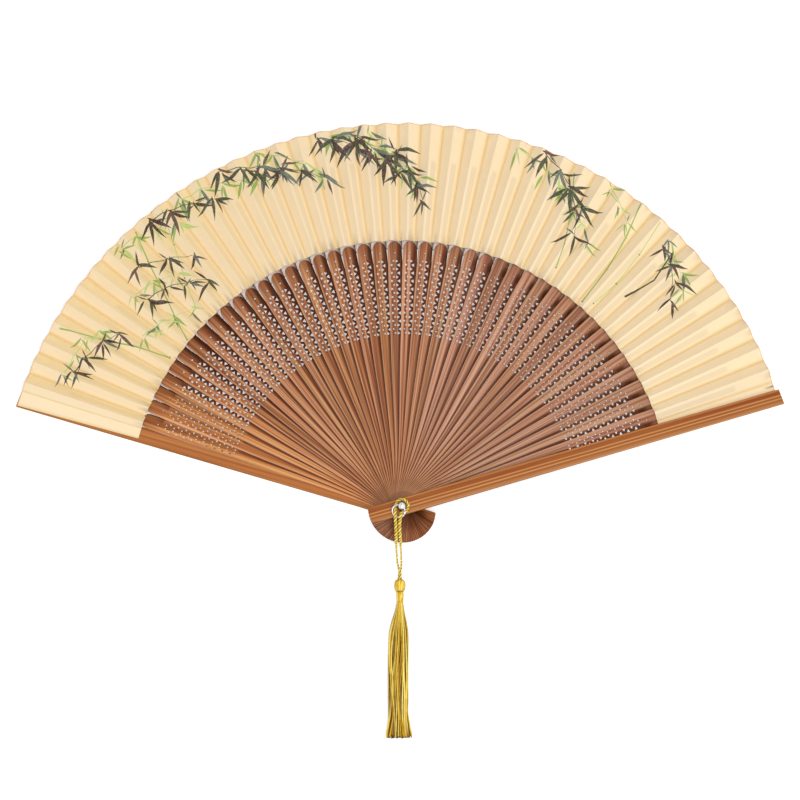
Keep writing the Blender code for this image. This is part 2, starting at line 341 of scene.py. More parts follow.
def leave_edit() -> None:
    """Goes back to object mode."""
    bpy.ops.object.mode_set(mode="OBJECT")


def join(name: str, parts: Sequence[Piece]) -> Piece:
    """Joins parts into the first one.

    Args:
        name: The name of the joined piece.
        parts: The objects, which are meshes.

    Returns:
        The joined piece.
    """
    pick_up(parts[0])
    for part in parts:
        part.select_set(True)
    if len(parts) > 1:
        bpy.ops.object.join()
    return made_piece(name)


def smooth(piece: Piece) -> None:
    """Shades piece smooth all over."""
    pick_up(piece)
    bpy.ops.object.shade_smooth()


def smooth_by_angle(piece: Piece, degrees: float) -> None:
    """Shades piece smooth but for the edges sharper than degrees."""
    pick_up(piece)
    bpy.ops.object.shade_smooth_by_angle(angle=math.radians(degrees))


def move_points(piece: Piece, rule: Callable[[Vector], Vector]) -> None:
    """Moves each vertex of piece.

    Args:
        piece: The mesh object.
        rule: Turns a vertex's place into its new one.
    """
    for vertex in piece.data.vertices:
        vertex.co = rule(vertex.co)
    piece.data.update()


def write_map(piece: Piece, name: str, rule: Callable[[Vector], Pair]) -> None:
    """Gives piece a UV map whose values rule reads from the vertices' places.

    Args:
        piece: The mesh object.
        name: The map's name.
        rule: Turns a vertex's place into its two values.
    """
    mesh = piece.data
    layer = mesh.uv_layers.get(name) or mesh.uv_layers.new(name=name)
    for loop in mesh.loops:
        layer.data[loop.index].uv = rule(mesh.vertices[loop.vertex_index].co)


def write_values(piece: Piece, name: str, values: Sequence[float]) -> None:
    """Gives each vertex of piece a number that a finish reads."""
    piece.data.attributes.new(name, "FLOAT", "POINT").data.foreach_set("value", values)


def write_strands(piece: Piece, tones: Sequence[float], depth: Callable[[Vector], float]) -> None:
    """Gives each strand of a tube its brightness, and each vertex its depth among the strands.

    Args:
        piece: The strands, all with the same number of points.
        tones: The brightness of each strand, from 0 to 1.
        depth: Turns a vertex's place into 0 for deep to 1 for outermost.
    """
    vertices = piece.data.vertices
    each = len(vertices) // len(tones)
    last = len(tones) - 1
    write_values(piece, "tone", [tones[min(last, vertex.index // each)] for vertex in vertices])
    write_values(piece, "depth", [depth(vertex.co) for vertex in vertices])


def linked(name: str, data: bpy.types.ID) -> Piece:
    """Puts a new object into the scene.

    Args:
        name: Its name.
        data: Its mesh, curve, lamp or camera.

    Returns:
        The object.
    """
    thing = bpy.data.objects.new(name, data)
    bpy.context.scene.collection.objects.link(thing)
    return thing


def dress(
    piece: Piece, finishes: Sequence[Material], slot: Slot, body: str, node: str = ""
) -> None:
    """Gives piece its materials, and says what it is in the frame.

    Args:
        piece: The piece.
        finishes: Its materials.
        slot: The material slot for it, which is not used.
        body: The body that it rides on.
        node: The solid that it stands for, if it does so alone.
    """
    piece.data.materials.clear()
    for finish in finishes:
        piece.data.materials.append(finish)
    if node:
        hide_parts(node)
    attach(piece, body)
    LOG.info("%s rides on %s", piece.name, body)


def grid_sheet(
    name: str, lengthwise: int, across: int, rule: Callable[[float, float], Pair]
) -> Piece:
    """Adds a flat grid and moves its points to the outline of a slat.

    Args:
        name: The sheet's name.
        lengthwise: The number of cells along it.
        across: The number of cells across it.
        rule: Turns a share of the length and a side from -1 to 1 into a place.

    Returns:
        The sheet, facing up.
    """
    put_down()
    bpy.ops.mesh.primitive_grid_add(x_subdivisions=lengthwise, y_subdivisions=across, size=2)
    sheet = made_piece(name)
    move_points(sheet, lambda co: Vector((*rule((co.x + 1) / 2, co.y), 0.0)))
    edit(sheet)
    bpy.ops.mesh.remove_doubles(threshold=0.000005)
    leave_edit()
    return sheet


def turned_piece(name: str, profile: Sequence[Pair], sides: int) -> Piece:
    """Makes a round solid: a disc that is extruded and scaled from ring to ring.

    Args:
        name: The piece's name.
        profile: The radius and height of each ring, from the bottom up.
        sides: The number of corners of a ring.

    Returns:
        The solid, about Z, closed at both ends.
    """
    put_down()
    radius, height = profile[0]
    bpy.ops.mesh.primitive_circle_add(vertices=sides, radius=radius, fill_type="NGON")
    piece = made_piece(name)
    piece.location.z = height
    settle(piece)
    edit(piece, "FACE")
    for next_radius, next_height in profile[1:]:
        step = {"value": (0.0, 0.0, next_height - height)}
        bpy.ops.mesh.extrude_region_move(TRANSFORM_OT_translate=step)
        scale = next_radius / radius
        bpy.ops.transform.resize(value=(scale, scale, 1.0))
        radius, height = next_radius, next_height
    bpy.ops.mesh.select_all(action="SELECT")
    bpy.ops.mesh.normals_make_consistent(inside=False)
    leave_edit()
    return piece


def tube(name: str, lines: Iterable[Line], bevel: int) -> Piece:
    """Makes round strands, each along its own line.

    Args:
        name: The piece's name.
        lines: The lines, as points with the radius there.
        bevel: The resolution of a quarter of the round, plus one.

    Returns:
        One mesh with all the strands and their maps along and around.
    """
    curve = bpy.data.curves.new(name, "CURVE")
    curve.dimensions = "3D"
    curve.bevel_depth = 1.0
    curve.bevel_resolution = bevel
    curve.use_fill_caps = True
    for line in lines:
        spline = curve.splines.new("POLY")
        spline.points.add(len(line) - 1)
        for point, (place, radius) in zip(spline.points, line):
            point.co = (*place, 1.0)
            point.radius = radius
    pick_up(linked(name, curve))
    bpy.ops.object.convert(target="MESH")
    piece = made_piece(name)
    bpy.ops.object.shade_smooth()
    return piece


# Finishes


class Value:
    """What a node of a material gives. It takes part in sums as a plain number does."""

    def __init__(self, made: "Nodes", socket: bpy.types.NodeSocket) -> None:
        """Holds one output of the nodes in made."""
        self.made = made
        self.socket = socket

    def __add__(self, other: object) -> "Value":
        """The sum with other."""
        return self.made.math("ADD", self, other)

    def __sub__(self, other: object) -> "Value":
        """The difference to other."""
        return self.made.math("SUBTRACT", self, other)

    def __rsub__(self, other: object) -> "Value":
        """Other less this value."""
        return self.made.math("SUBTRACT", other, self)

    def __mul__(self, other: object) -> "Value":
        """The product with other."""
        return self.made.math("MULTIPLY", self, other)

    def __neg__(self) -> "Value":
        """The value with its sign turned."""
        return self * -1.0

    def __abs__(self) -> "Value":
        """The value without its sign."""
        return self.made.math("ABSOLUTE", self)

    def eased(self, low: float, high: float) -> "Value":
        """A value that eases from 0 where this one is low to 1 where it is high."""
        node = self.made.add("ShaderNodeMapRange", interpolation_type="SMOOTHSTEP")
        return self.made.fed(node, "Result", Value=self, From_Min=low, From_Max=high)


class Nodes:
    """A material's nodes, with short calls for the ones that the finishes share."""

    def __init__(self, name: str) -> None:
        """Starts a material with its shader.

        Args:
            name: The material's name.
        """
        self.material = bpy.data.materials.new(name)
        self.material.use_nodes = True
        self.tree = self.material.node_tree
        self.shader = self.tree.nodes["Principled BSDF"]

    def add(self, kind: str, **settings: object) -> bpy.types.Node:
        """Adds a node.

        Args:
            kind: Its type.
            **settings: Its properties.

        Returns:
            The node.
        """
        node = self.tree.nodes.new(kind)
        for name, value in settings.items():
            setattr(node, name, value)
        return node

    def feed(self, socket: bpy.types.NodeSocket, value: object) -> None:
        """Links or sets one input.

        Args:
            socket: The input.
            value: A node's output, a colour or a number.
        """
        if isinstance(value, Value):
            self.tree.links.new(value.socket, socket)
        elif isinstance(value, tuple) and socket.type == "RGBA":
            socket.default_value = (*value, 1.0)
        else:
            socket.default_value = value

    def fed(
        self, node: bpy.types.Node, output: str | int, *values: object, **named: object
    ) -> Value:
        """Feeds a node's inputs and reads one of its outputs.

        Args:
            node: The node.
            output: The output's name or number.
            *values: What its first inputs take.
            **named: What inputs take by name, with _ for a space.

        Returns:
            The output.
        """
        for socket, value in zip(node.inputs, values):
            self.feed(socket, value)
        for name, value in named.items():
            self.feed(node.inputs[name.replace("_", " ")], value)
        return Value(self, node.outputs[output])

    def math(self, operation: str, *values: object) -> Value:
        """A number worked out from others."""
        return self.fed(self.add("ShaderNodeMath", operation=operation), 0, *values)

    def mix(self, share: object, first: object, second: object, how: str = "MIX") -> Value:
        """A colour between two others, or blended from them.

        Args:
            share: How much the second one counts, from 0 to 1.
            first: The first colour.
            second: The second colour.
            how: The way in which they are blended.

        Returns:
            The colour.
        """
        node = self.add("ShaderNodeMix", data_type="RGBA", blend_type=how)
        for number, value in ((0, share), (6, first), (7, second)):
            self.feed(node.inputs[number], value)
        return Value(self, node.outputs[2])

    def ramp(self, value: Value, places: Sequence[float], colours: Sequence[Colour]) -> Value:
        """A colour picked by value.

        Args:
            value: What it is picked by, from 0 to 1.
            places: Where the colours stand.
            colours: The colours.

        Returns:
            The colour.
        """
        node = self.add("ShaderNodeValToRGB")
        band = node.color_ramp.elements
        while len(band) < len(places):
            band.new(1.0)
        for element, place, colour in zip(band, places, colours):
            element.position = place
            element.color = (*colour, 1.0)
        return self.fed(node, 0, value)

    def split(self, vector: Value) -> tuple[Value, Value]:
        """The first two values of a vector."""
        node = self.add("ShaderNodeSeparateXYZ")
        return self.fed(node, 0, vector), Value(self, node.outputs[1])

    def uv(self, name: str) -> tuple[Value, Value]:
        """The two values of a UV map."""
        return self.split(self.fed(self.add("ShaderNodeUVMap", uv_map=name), 0))

    def place(self) -> Value:
        """The place in the object."""
        return self.fed(self.add("ShaderNodeTexCoord"), "Object")

    def attribute(self, name: str) -> Value:
        """One value that the mesh itself carries."""
        return self.fed(self.add("ShaderNodeAttribute", attribute_name=name), "Fac")

    def vector(self, *values: object) -> Value:
        """A vector of up to three values."""
        return self.fed(self.add("ShaderNodeCombineXYZ"), 0, *values)

    def noise(self, place: Value, scale: float, detail: float = 2.0, rough: float = 0.5) -> Value:
        """Soft noise over place."""
        node = self.add("ShaderNodeTexNoise")
        return self.fed(node, "Fac", Vector=place, Scale=scale, Detail=detail, Roughness=rough)

    def fibres(
        self, sizes: Sequence[Pair], shift: object = 0.0, detail: float = 2.0, rough: float = 0.5
    ) -> list[Value]:
        """Noise that is drawn out along a slat.

        Args:
            sizes: How often each layer of it changes along and across, for each metre.
            shift: What tells one slat from the next.
            detail: How many finer steps it has.
            rough: How strong they are.

        Returns:
            The layers.
        """
        along, across = self.uv("slat")
        places = [self.vector(along * length, across * width, shift) for length, width in sizes]
        return [self.noise(place, 1.0, detail, rough) for place in places]

    def bump(self, height: Value, distance: float, strength: float = 1.0) -> None:
        """Roughens the surface by height."""
        node = self.add("ShaderNodeBump")
        self.set(Normal=self.fed(node, 0, Distance=distance, Strength=strength, Height=height))

    def set(self, **values: object) -> None:
        """Sets or links inputs of the shader, named with _ for a space."""
        self.fed(self.shader, 0, **values)


@dataclass(frozen=True)
class GuardFinish:
    """Stained bamboo of a guard: fine fibres along it, a few broad bands of other tones, and a
    painted shadow of the rivet's ball round the pivot.
    """

    name: str
    bands: Bands
    deep: Colour = from_srgb(140, 74, 24)
    middle: Colour = from_srgb(174, 106, 48)
    pale: Colour = from_srgb(200, 138, 76)
    fibre: Colour = from_srgb(112, 52, 12)
    edge: Colour = from_srgb(100, 46, 12)
    ball_shadow: Colour = from_srgb(70, 26, 6)
    ball_shadow_reach: Pair = (0.0020, 0.0030)
    half_width: float = 0.0040
    wander: float = 0.0005

    def material(self) -> Material:
        """Builds the material.

        Returns:
            The finished material.
        """
        made = Nodes(self.name)
        along, across = made.uv("slat")
        broad, fine = made.fibres(((5.0, 700.0), (14.0, 1700.0)), detail=3.0, rough=0.62)
        tone = broad * 0.5 + fine * 0.5
        colour = made.ramp(tone, (0.40, 0.5, 0.60), (self.deep, self.middle, self.pale))
        wavy = across + (broad - 0.5) * self.wander
        for place, width, band in self.bands:
            line = 1 - abs(wavy - place).eased(width * 0.6, width)
            streaked = made.mix(fine.eased(0.42, 0.60) * 0.35, band, self.middle)
            colour = made.mix(line * 0.85, colour, streaked)
        colour = made.mix(fine.eased(0.56, 0.66) * 0.4, colour, self.fibre)
        side = abs(across) * (1 / self.half_width)
        colour = made.mix(side.eased(0.90, 1.02) * 0.5, colour, self.edge)
        # Painted shadow of the rivet's ball: darker within a few millimetres of the pivot.
        away = made.math("SQRT", along * along + across * across)
        colour = made.mix((1 - away.eased(*self.ball_shadow_reach)) * 0.75, colour, self.ball_shadow)
        made.set(Base_Color=colour, Roughness=fine * 0.14 + 0.38, Specular_IOR_Level=0.16)
        made.bump(tone, 0.00006, 0.8)
        return made.material


@dataclass(frozen=True)
class RibFinish:
    """Stained bamboo of a rib, streaked along, with painted shade where the next rib lies over it.
    """

    name: str = "rib bamboo"
    plain: Grain = (from_srgb(124, 66, 34), from_srgb(166, 106, 68), from_srgb(204, 148, 108))
    orange: Grain = (from_srgb(146, 78, 32), from_srgb(186, 116, 60), from_srgb(220, 158, 100))
    pink_sheen: Grain = (from_srgb(146, 92, 66), from_srgb(176, 124, 96), from_srgb(204, 157, 130))
    shade: Colour = from_srgb(82, 30, 8)
    bar_shade: Colour = from_srgb(74, 24, 6)
    edge: Colour = from_srgb(56, 16, 4)
    lit_edge: Colour = from_srgb(218, 168, 132)
    rubbed: Colour = from_srgb(255, 240, 224)
    rubbed_reach: Pair = (0.012, 0.050)
    lattice_start: Pair = (0.0835, 0.0865)
    lattice_end: Pair = (0.1232, 0.1250)
    head_start: Pair = (0.1225, 0.1300)
    tip_start: Pair = (0.1266, 0.1304)
    column_start: Pair = (0.0003, 0.0008)
    column_end: Pair = (0.0021, 0.0025)

    def tint(self, made: Nodes) -> Value:
        """The slat's own tone: lighter or darker, and from olive to pink.

        Args:
            made: The material's nodes.

        Returns:
            The factors of its red, green and blue.
        """
        seed = made.attribute("seed")
        value = made.math("FRACT", seed * 7.31) * 0.20 + 0.84
        hue = made.math("FRACT", seed * 3.97) - 0.5
        return made.vector(value, value * (hue * 0.04 + 1.0), value * (hue * -0.13 + 1.0))

    def material(self) -> Material:
        """Builds the material.

        Returns:
            The finished material.
        """
        made = Nodes(self.name)
        along, across = made.uv("slat")
        lap, side = made.uv("lap")
        warm, pink_sheen = made.attribute("warm"), made.attribute("pink_sheen")
        sizes = ((6.0, 760.0), (12.0, 1750.0))
        broad, fine = made.fibres(sizes, made.attribute("seed") * 3.7, 3.0, 0.6)
        tone = broad * 0.55 + fine * 0.45
        plain, orange, sheen_grain = (
            made.ramp(tone, (0.41, 0.5, 0.59), grain)
            for grain in (self.plain, self.orange, self.pink_sheen)
        )
        # Painted sheen: a lighter, pinker grain on the ribs towards the front guard.
        colour = made.mix(pink_sheen, made.mix(warm, plain, orange), sheen_grain)
        pierced = along.eased(*self.lattice_start) * (1 - along.eased(*self.lattice_end))
        head = along.eased(*self.head_start)
        bare = warm.eased(0.85, 0.97)
        colour = made.mix(head * (pink_sheen * -0.35 + 0.45), colour, self.plain[0])
        # Painted shade where the next rib lies over this one, softer in the lattice and at the
        # head.
        under = (lap + along.eased(0.086, 0.120) * 0.13).eased(0.62, 0.82)
        under = under * (along.eased(-0.004, 0.004) * 0.52 + 0.32)
        under = under * (1 - along.eased(*self.tip_start) * pink_sheen)
        weaker = made.math("MAXIMUM", pierced * (pink_sheen * 0.35 + 0.15), head * (warm * 0.5))
        weaker = made.math("MAXIMUM", weaker, pierced * (bare * 0.65))
        colour = made.mix(under * (1 - weaker), colour, self.shade)
        # Painted shade on the lattice's column on the low side, where the slat slopes away from the
        # light.
        column = (-across).eased(*self.column_start) * (1 - (-across).eased(*self.column_end))
        bar_shaded = pierced * (pink_sheen * -0.25 + 0.62) * (bare * -0.7 + 1.0)
        colour = made.mix(column * bar_shaded, colour, self.bar_shade)
        # Dark low edge: partly a scorched cut, partly painted shade of the gap under the next rib.
        colour = made.mix((-side).eased(0.80, 0.98) * 0.8, colour, self.edge)
        colour = made.mix(side.eased(0.72, 0.92) * 0.5, colour, self.lit_edge)
        colour = made.mix(1.0, colour, self.tint(made), "MULTIPLY")
        worn = made.mix(1.0, colour, self.rubbed, "MULTIPLY")
        colour = made.mix(1 - along.eased(*self.rubbed_reach), colour, worn)
        made.set(Base_Color=colour, Roughness=fine * 0.16 + 0.40, Specular_IOR_Level=0.16)
        made.bump(tone, 0.00007, 0.8)
        return made.material


@dataclass(frozen=True)
class PlainBamboo:
    """Bamboo of two tones: the scorched edge of a cut through it, or the thin blade of a rib."""

    name: str
    dark: Colour
    light: Colour
    size: Pair
    tones: Pair
    relief: float
    gloss: float

    def material(self) -> Material:
        """Builds the material.

        Returns:
            The finished material.
        """
        made = Nodes(self.name)
        (grain,) = made.fibres((self.size,))
        colour = made.ramp(grain, self.tones, (self.dark, self.light))
        made.set(Base_Color=colour, Roughness=0.6, Specular_IOR_Level=self.gloss)
        made.bump(grain, self.relief, 0.5)
        return made.material


BURNT_EDGE = PlainBamboo(
    "burnt bamboo edge", from_srgb(62, 22, 6), from_srgb(118, 62, 30),
    size=(1800.0, 1800.0), tones=(0.35, 0.7), relief=0.00003, gloss=0.1,
)
BLADE = PlainBamboo(
    "blade bamboo", from_srgb(212, 192, 182), from_srgb(234, 220, 212),
    size=(12.0, 1400.0), tones=(0.38, 0.62), relief=0.00004, gloss=0.2,
)


@dataclass(frozen=True)
class LeafFinish:
    """Cream sized cloth with a fine weave and painted shade along its valleys. Its mesh carries the
    print, and its maps the folds.
    """

    name: str = "leaf cloth"
    cloth: Colour = from_srgb(245, 223, 186)
    shade: Colour = from_srgb(242, 217, 175)
    valley: Colour = from_srgb(227, 200, 143)
    strip_shadow: Colour = from_srgb(228, 208, 174)
    left_shade: Colour = from_srgb(240, 210, 142)
    rim: Colour = from_srgb(228, 168, 108)
    strip_from: float = 0.25
    strip_to: float = 0.71

    def printed(self, made: Nodes, colour: Value) -> Value:
        """Adds what only the front shows: the painted shadow of the strips behind it, painted shade
        on the glued sides of the left half, and the print.

        Args:
            made: The material's nodes.
            colour: The plain cloth.

        Returns:
            The colour of the front.
        """
        fold, along = made.uv("fold")
        place = made.place()
        # Painted shadow of the strip glued behind the cloth, up to where the strip ends.
        start = fold.eased(self.strip_from - 0.05, self.strip_from + 0.05)
        end = fold.eased(self.strip_to - 0.06, self.strip_to + 0.06)
        tip = along.eased(PLAN.strip_r - 0.0012, PLAN.strip_r + 0.0012)
        colour = made.mix((start - end) * (1 - tip) * 0.85, colour, self.strip_shadow)
        # Painted shade: the glued sides of the left half, which face away from the light, turn
        # golden.
        left = (-made.split(place)[0]).eased(0.02, 0.14)
        glued = 1 - fold.eased(0.94, 1.02)
        colour = made.mix(left * glued * 0.45, colour, self.left_shade)
        ink = made.add("ShaderNodeVertexColor", layer_name="print")
        patchy = made.noise(place, 1100.0, 2.0).eased(0.2, 0.8)
        cover = made.fed(ink, "Alpha") * (patchy * 0.16 + 0.84)
        return made.mix(cover, colour, made.fed(ink, "Color"))

    def material(self, front: bool) -> Material:
        """Builds the material.

        Args:
            front: True for the printed side.

        Returns:
            The finished material.
        """
        made = Nodes(self.name + (" front" if front else " back"))
        fold, along = made.uv("fold")
        cloudy = made.noise(made.place(), 40.0, 3.0)
        colour = made.mix(cloudy.eased(0.35, 0.75) * 0.3, self.cloth, self.shade)
        # Painted shade along the valley creases.
        to_valley = made.math("MINIMUM", abs(fold - 1.0), abs(fold - 2.0))
        colour = made.mix((1 - to_valley.eased(0.0, 0.28)) * 0.8, colour, self.valley)
        if front:
            colour = self.printed(made, colour)
        bound = 1 - made.uv("rim")[0].eased(0.0002, 0.0006)
        colour = made.mix(bound * 0.6, colour, self.rim)
        weave = made.noise(made.vector(fold * 14.0, along * 2600.0, 0.0), 1.0)
        made.set(
            Base_Color=colour,
            Roughness=0.78,
            Specular_IOR_Level=0.25,
            Sheen_Weight=0.12,
            Sheen_Roughness=0.5,
        )
        made.bump(weave, 0.00004, 0.5)
        return made.material


@dataclass(frozen=True)
class SteelFinish:
    """Bright plated steel with faint wear."""

    name: str = "plated steel"
    colour: Colour = from_srgb(226, 226, 232)
    dull: Colour = from_srgb(128, 128, 136)

    def material(self) -> Material:
        """Builds the material.

        Returns:
            The finished material.
        """
        made = Nodes(self.name)
        place = made.place()
        worn = made.noise(place, 1500.0, 3.0)
        patch = made.noise(place, 620.0, 1.0).eased(0.50, 0.62)
        colour = made.mix(patch * 0.7, self.colour, self.dull)
        colour = made.mix(worn.eased(0.4, 0.8) * 0.5, colour, self.dull)
        made.set(Base_Color=colour, Metallic=1.0, Roughness=worn * 0.14 + 0.1)
        made.bump(worn, 0.00001, 0.3)
        return made.material


@dataclass(frozen=True)
class YarnFinish:
    """Silky golden yarn with painted shade where its strands lie deep. Its mesh says how bright
    each strand is, and where it dips.
    """

    name: str
    deep: Colour = from_srgb(96, 40, 0)
    low: Colour = from_srgb(168, 94, 2)
    gold: Colour = from_srgb(224, 176, 26)
    pale: Colour = from_srgb(255, 234, 120)

    def material(self) -> Material:
        """Builds the material.

        Returns:
            The finished material.
        """
        made = Nodes(self.name)
        place = made.place()
        patchy = made.noise(place, 420.0, 2.0, 0.6)
        fibres = made.noise(place, 2600.0, 2.0, 0.6)
        blend = made.attribute("tone") * 0.55 + patchy * 0.30 + fibres * 0.22
        colour = made.ramp(blend, (0.26, 0.50, 0.78), (self.low, self.gold, self.pale))
        # Painted shade on the strands that lie deep among the others.
        shade_among_strands = 1 - made.attribute("depth")
        made.set(
            Base_Color=made.mix(shade_among_strands * 0.85, colour, self.deep),
            Roughness=0.38,
            Specular_IOR_Level=0.22,
            Sheen_Weight=0.04,
            Sheen_Roughness=0.35,
        )
        made.bump(fibres, 0.00005, 0.5)
        return made.material


# The studio


@dataclass
class Studio:
    """The camera, the lamps, the white surround and the floor."""

    elevation: float = math.radians(81.5)
    distance: float = 2.6
    lens: float = 240.07
    sensor: float = 36.0
    aim: Point = (-0.00093, 0.05342, 0.008)
    lit: Point = (0.0, 0.06, 0.0)
    surround_light: float = 0.60
    floor_z: float = -0.00005
    floor_size: float = 6.0
    floor_tone: float = 0.72
    floor_glow: float = 0.54
    lamps: tuple[tuple[str, Point, float, float], ...] = (
        ("key", (0.35, -1.15, 1.15), 1.0, 6.8),
        ("fill", (0.38, -0.1, 1.9), 1.2, 15.0),
    )

    def set_camera(self) -> None:
        """Puts the camera on the tassel's side, high above the fan."""
        data = bpy.data.cameras.new("camera")
        data.lens = self.lens
        data.sensor_width = self.sensor
        data.clip_start = 0.1
        data.clip_end = 20.0
        camera = linked("camera", data)
        away = Vector((0.0, -math.cos(self.elevation), math.sin(self.elevation)))
        camera.location = Vector(self.aim) + away * self.distance
        camera.rotation_euler = (math.pi / 2 - self.elevation, 0.0, 0.0)
        bpy.context.scene.camera = camera

    def seen_directly(self, tree: bpy.types.NodeTree) -> bpy.types.NodeSocket:
        """Tells the rays that see the surround: the camera's, and those of gloss and glass.

        Args:
            tree: The nodes that it is added to.

        Returns:
            A value that is at least 1 for such a ray.
        """
        path = tree.nodes.new("ShaderNodeLightPath")
        total = path.outputs["Is Camera Ray"]
        for name in ("Is Glossy Ray", "Is Transmission Ray"):
            add = tree.nodes.new("ShaderNodeMath")
            add.operation = "ADD"
            add.use_clamp = True
            tree.links.new(total, add.inputs[0])
            tree.links.new(path.outputs[name], add.inputs[1])
            total = add.outputs[0]
        return total

    def set_world(self) -> None:
        """Makes the surround white, and its light plain."""
        world = bpy.data.worlds.new("surround")
        bpy.context.scene.world = world
        world.use_nodes = True
        tree = world.node_tree
        strength = tree.nodes.new("ShaderNodeMix")
        tree.links.new(self.seen_directly(tree), strength.inputs["Factor"])
        strength.inputs[2].default_value = self.surround_light
        strength.inputs[3].default_value = 1.0
        tree.links.new(strength.outputs[0], tree.nodes["Background"].inputs["Strength"])
        tree.nodes["Background"].inputs["Color"].default_value = (1.0, 1.0, 1.0, 1.0)

    def set_floor(self) -> None:
        """Lays a pale floor that looks white where no shadow falls."""
        put_down()
        place = (0.0, 0.0, self.floor_z)
        bpy.ops.mesh.primitive_plane_add(size=self.floor_size, location=place)
        floor = made_piece("floor")
        settle(floor)
        made = Nodes("floor white")
        made.set(Base_Color=(self.floor_tone,) * 3, Roughness=0.9, Specular_IOR_Level=0.0)
        seen = Value(made, self.seen_directly(made.tree))
        made.set(Emission_Color=(1.0, 1.0, 1.0), Emission_Strength=seen * self.floor_glow)
        floor.data.materials.append(made.material)

    def add_lamp(self, name: str, place: Point, size: float, power: float) -> None:
        """Adds a soft square lamp that faces the fan.

        Args:
            name: The lamp's name.
            place: Where it is.
            size: The side of its square.
            power: Its power in watts.
        """
        data = bpy.data.lights.new(name, "AREA")
        data.shape = "SQUARE"
        data.size = size
        data.energy = power
        lamp = linked(name, data)
        lamp.location = place
        ahead = Vector(self.lit) - Vector(place)
        lamp.rotation_euler = ahead.to_track_quat("-Z", "Y").to_euler()

    def build(self) -> None:
        """Sets the whole studio."""
        bpy.context.scene.view_settings.view_transform = "Standard"
        self.set_camera()
        self.set_world()
        self.set_floor()
        for lamp in self.lamps:
            self.add_lamp(*lamp)


# The tassel and its cord


